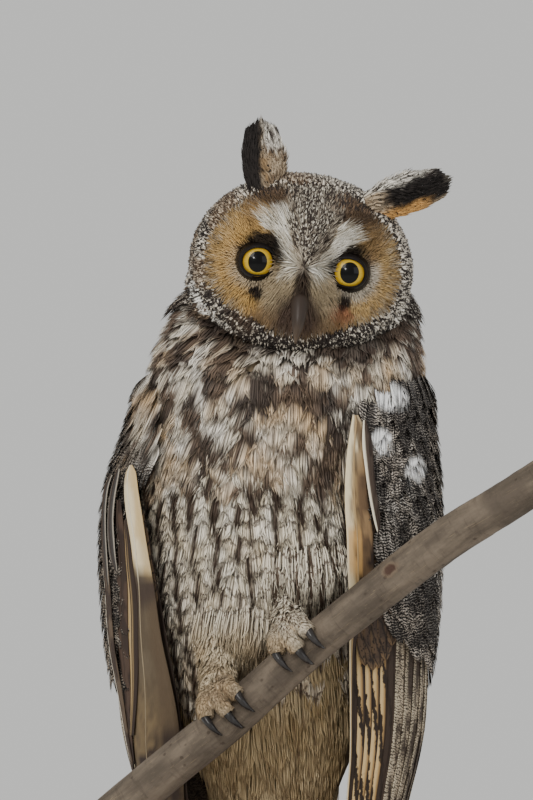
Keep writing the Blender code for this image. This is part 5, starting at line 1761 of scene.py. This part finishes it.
def bark_material():
    """Smooth grey-brown bark with paler patches, fine wrinkles across it, breathing pores and scratches."""
    s = Shader("bark_grey", Roughness=0.8, Specular_IOR_Level=0.3)
    place = s.attribute("bark")
    patches = s.noise(place, (0.045, 0.11, 0.11), 5.0, 0.6)
    wrinkle = s.noise(place, (0.5, 0.08, 0.08), 5.0, 0.65, 0.6)
    grain = s.noise(place, (0.35, 1.6, 1.6), 6.0, 0.7)
    cells = {"Vector": s.scaled(place, (0.22, 0.16, 0.16)), "Scale": 1.0}
    pore = s.step(0.17, 0.07, s.node("TexVoronoi", cells).outputs["Distance"])
    scratch = s.noise(place, (0.12, 2.4, 2.4), 3.0, 0.5, 0.4)
    tone = s.blend(s.step(0.35, 0.68, patches), linear(80, 71, 61), linear(116, 104, 90))
    tone = s.cover(tone, (62, 53, 45), 0.55, s.step(0.5, 0.75, wrinkle))
    tone = s.cover(tone, (140, 124, 102), 0.5, s.step(0.62, 0.7, grain))
    tone = s.cover(tone, (150, 132, 104), 0.5, s.step(0.66, 0.72, scratch))
    tone = s.cover(tone, (58, 46, 37), 0.6, pore)
    knot = (KNOT[0], BARK_RADIUS * math.cos(KNOT[1]), BARK_RADIUS * math.sin(KNOT[1]))
    away = s.node("VectorMath", {0: place, 1: knot}, operation="DISTANCE").outputs["Value"]
    away = s.math("ADD", away, s.math("MULTIPLY", wrinkle, 4.0))
    tone = s.cover(tone, (128, 106, 84), 0.3, s.step(6.0, 4.4, away))
    tone = s.cover(tone, (64, 42, 34), 0.85, s.step(4.6, 3.2, away))
    from_ring = s.math("ABSOLUTE", s.math("SUBTRACT", s.split(place)[0], 84.0))
    ring = s.math("MULTIPLY", s.step(9.5, 5.0, from_ring), s.step(0.4, 0.6, patches))
    tone = s.cover(tone, (56, 48, 42), 0.6, ring)
    s.colour(tone)
    relief = s.math("ADD", s.math("MULTIPLY", wrinkle, 1.0), s.math("MULTIPLY", grain, 0.5))
    s.bump(s.math("SUBTRACT", relief, s.math("MULTIPLY", pore, 0.5)), 0.0006)
    return s.material


def end_wood_material():
    s = Shader("cut_wood", Roughness=0.7)
    place = s.place()
    rays = s.noise(place, (400, 1500, 400), 4.0)
    s.colour(s.blend(rays, linear(198, 172, 132), linear(150, 118, 82)))
    return s.material


def base_wood_material():
    """Dark stained wood with grain along its length, under a satin varnish."""
    s = Shader("base_walnut", Roughness=0.38, Coat_Weight=0.35, Coat_Roughness=0.18)
    place = s.place()
    bend = s.noise(place, (6, 30, 30), 2.0)
    lines = s.noise(place, (14, 420, 420), 6.0, 0.62, 0.4)
    rings = {"Vector": s.scaled(place, (2.2, 26, 26)), "Scale": 1.0, "Distortion": 5.0, "Detail": 3.0}
    broad = s.node("TexWave", {**rings, "Detail Scale": 1.4}, bands_direction="Y").outputs[0]
    tone = s.blend(s.step(0.1, 0.95, broad), linear(94, 62, 42), linear(112, 76, 51))
    tone = s.cover(tone, (58, 36, 25), 0.7, s.step(0.45, 0.7, lines))
    tone = s.cover(tone, (140, 98, 66), 0.35, bend)
    s.colour(tone)
    s.bump(lines, 0.00015)
    return s.material


def rod_material():
    s = Shader("rod_steel", Metallic=1.0, Roughness=0.35)
    place = s.place()
    brushed = s.noise(place, (3000, 3000, 60), 3.0)
    s.colour(s.blend(brushed, linear(70, 70, 72), linear(104, 104, 106)))
    s.feed(s.main.inputs["Roughness"], s.math("MULTIPLY_ADD", brushed, 0.2, 0.25))
    s.bump(brushed, 0.00002)
    return s.material


def floor_material(reach, fade):
    """A pale floor that gives way to the pale backdrop at a distance."""
    s = Shader("studio_floor", Roughness=0.9)
    place = s.place()
    away = s.node("VectorMath", {0: place}, operation="LENGTH").outputs["Value"]
    fine = s.noise(place, (60, 60, 60), 3.0)
    s.colour(s.blend(fine, (0.80, 0.79, 0.77), (0.83, 0.82, 0.80)))
    s.feed(s.main.inputs["Alpha"], s.step(fade, reach, away))
    return s.material


def stage_and_light():
    bpy.ops.mesh.primitive_circle_add(vertices=96, radius=2.4, fill_type="NGON", location=(0, 0, 0))
    floor = bpy.context.object
    floor.name = "floor"
    floor.data.materials.append(floor_material(0.6, 2.2))
    world = bpy.data.worlds.new("studio")
    bpy.context.scene.world = world
    world.use_nodes = True
    background = world.node_tree.nodes["Background"]
    background.inputs["Color"].default_value = (0.80, 0.80, 0.78, 1)
    background.inputs["Strength"].default_value = 0.85
    lamps = (
        ("key", (-1.5, -2.2, 2.3), 1.5, 52, (1.0, 0.97, 0.92)),
        ("fill", (2.2, -2.4, 1.0), 1.8, 16, (0.93, 0.96, 1.0)),
        ("back", (1.2, 2.4, 2.2), 1.6, 45, (1.0, 0.98, 0.94)),
        ("glint", (-0.8, -2.5, 1.3), 0.32, 20, (1.0, 0.99, 0.96)),
    )
    for name, place, size, power, tint in lamps:
        light = bpy.data.lights.new(name, "AREA")
        light.size = size
        light.energy = power
        light.color = tint
        lamp = bpy.data.objects.new(name, light)
        lamp.location = place
        lamp.rotation_euler = (Vector((0, 0, 0.25)) - Vector(place)).to_track_quat("-Z", "Y").to_euler()
        lamp.visible_camera = False
        bpy.context.scene.collection.objects.link(lamp)


CAMERA_PLACE, CAMERA_LENS = (-0.0134, -6.0, 0.28), 675


def make_camera():
    """Level with the middle of the picture, far enough away to see the owl as the photograph does."""
    data = bpy.data.cameras.new("camera")
    data.lens = CAMERA_LENS
    data.clip_end = 100
    camera = bpy.data.objects.new("camera", data)
    camera.location = CAMERA_PLACE
    camera.rotation_euler = (math.pi / 2, 0, 0)
    bpy.context.scene.collection.objects.link(camera)
    bpy.context.scene.camera = camera


def dress(piece, slot, *nodes):
    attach(piece, "root")
    if nodes:
        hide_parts(*nodes)


def repaint(node, material):
    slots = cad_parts[node].material_slots
    for slot in slots:
        slot.material = material


def main():
    make_camera()
    stage_and_light()
    soft = feather_material("plumage_soft", streaks=0.2, barb=3.4, bars=3.5, edge=0.42, slant=0.5, drift=0.25,
                            rag=1.3, soft=1.7)
    firm = feather_material("plumage_firm", roughness=0.72, streaks=0.16, barb=3.0, bars=6.5, slant=1.1,
                            rag=0.8, soft=1.8)
    tail = feather_material("plumage_tail", roughness=0.72, streaks=0.16, barb=3.0, bars=6.0, drift=0.15,
                            rag=0.3)
    waved = feather_material("plumage_waved", roughness=0.75, streaks=0.16, barb=4.0, bars=0.85, rag=3.4,
                             slant=1.2, soft=1.8, drift=3.0, per_mm=True)
    bristle = feather_material("plumage_bristle", streaks=0.12, barb=6.0)
    fine = feather_material("plumage_fine", streaks=0.2, barb=5.0, speck=(0.9, 0.7))
    skin = make_skin(skin_material())
    flesh = ("torso", "neck", "head", "leg_right", "leg_left", "foot_right", "foot_left")
    dress(skin, "feather_body", *flesh)
    for piece in make_body_coat(soft):
        dress(piece, "feather_body", "torso")
    dress(make_face(bristle), "feather_head", "head")
    for make in (make_ruff, make_crown, make_forehead):
        dress(make(fine), "feather_head", "head")
    dress(make_foot_coat(bristle), "feather_leg", "foot_right", "foot_left", "leg_right", "leg_left")
    eye, lid = eye_material(), lid_material()
    bill = horn_material("bill_horn", linear(46, 35, 27), linear(122, 102, 80), 0.313, 0.297, 0.5)
    dress(make_bill("bill_upper_horn", BILL_PATH, BILL_RADII, bill, 0.16), "bill", "bill_upper")
    dress(make_bill("bill_lower_horn", LOWER_PATH, LOWER_RADII, bill, 0.0), "bill", "bill_lower")
    claw = horn_material("claw_horn", linear(16, 15, 16), linear(60, 56, 54), 0.1, 0.2, 0.25)
    wing_groups = (
        (make_flight, "_flight", firm), (make_inner_flight, "_inner_flight", waved),
        (make_coverts, "_coverts", waved), (make_primary_coverts, "_firm_coverts", firm),
    )
    for side, which in ((-1, "right"), (1, "left")):
        dress(make_eye(side, "eyeball_" + which, eye), "eye", "eye_" + which)
        dress(make_lids(side, "lids_" + which, lid), "feather_head", "head")
        dress(make_tuft(which, fine), "feather_head", "ear_tuft_" + which)
        wing = "wing_" + which
        for make, group, material in wing_groups:
            dress(make(side, wing + group, material), "feather_wing", wing)
        for toe in TOES:
            dress(make_claw(which, toe, claw), "claw", f"claw_{which}_{toe[0]}")
    dress(make_tail(tail), "feather_tail", "tail")
    dress(make_perch(bark_material(), end_wood_material()), "bark", "perch")
    repaint("stand_base", base_wood_material())
    for rod in ("stand_rod_short", "stand_rod_tall"):
        repaint(rod, rod_material())


main()
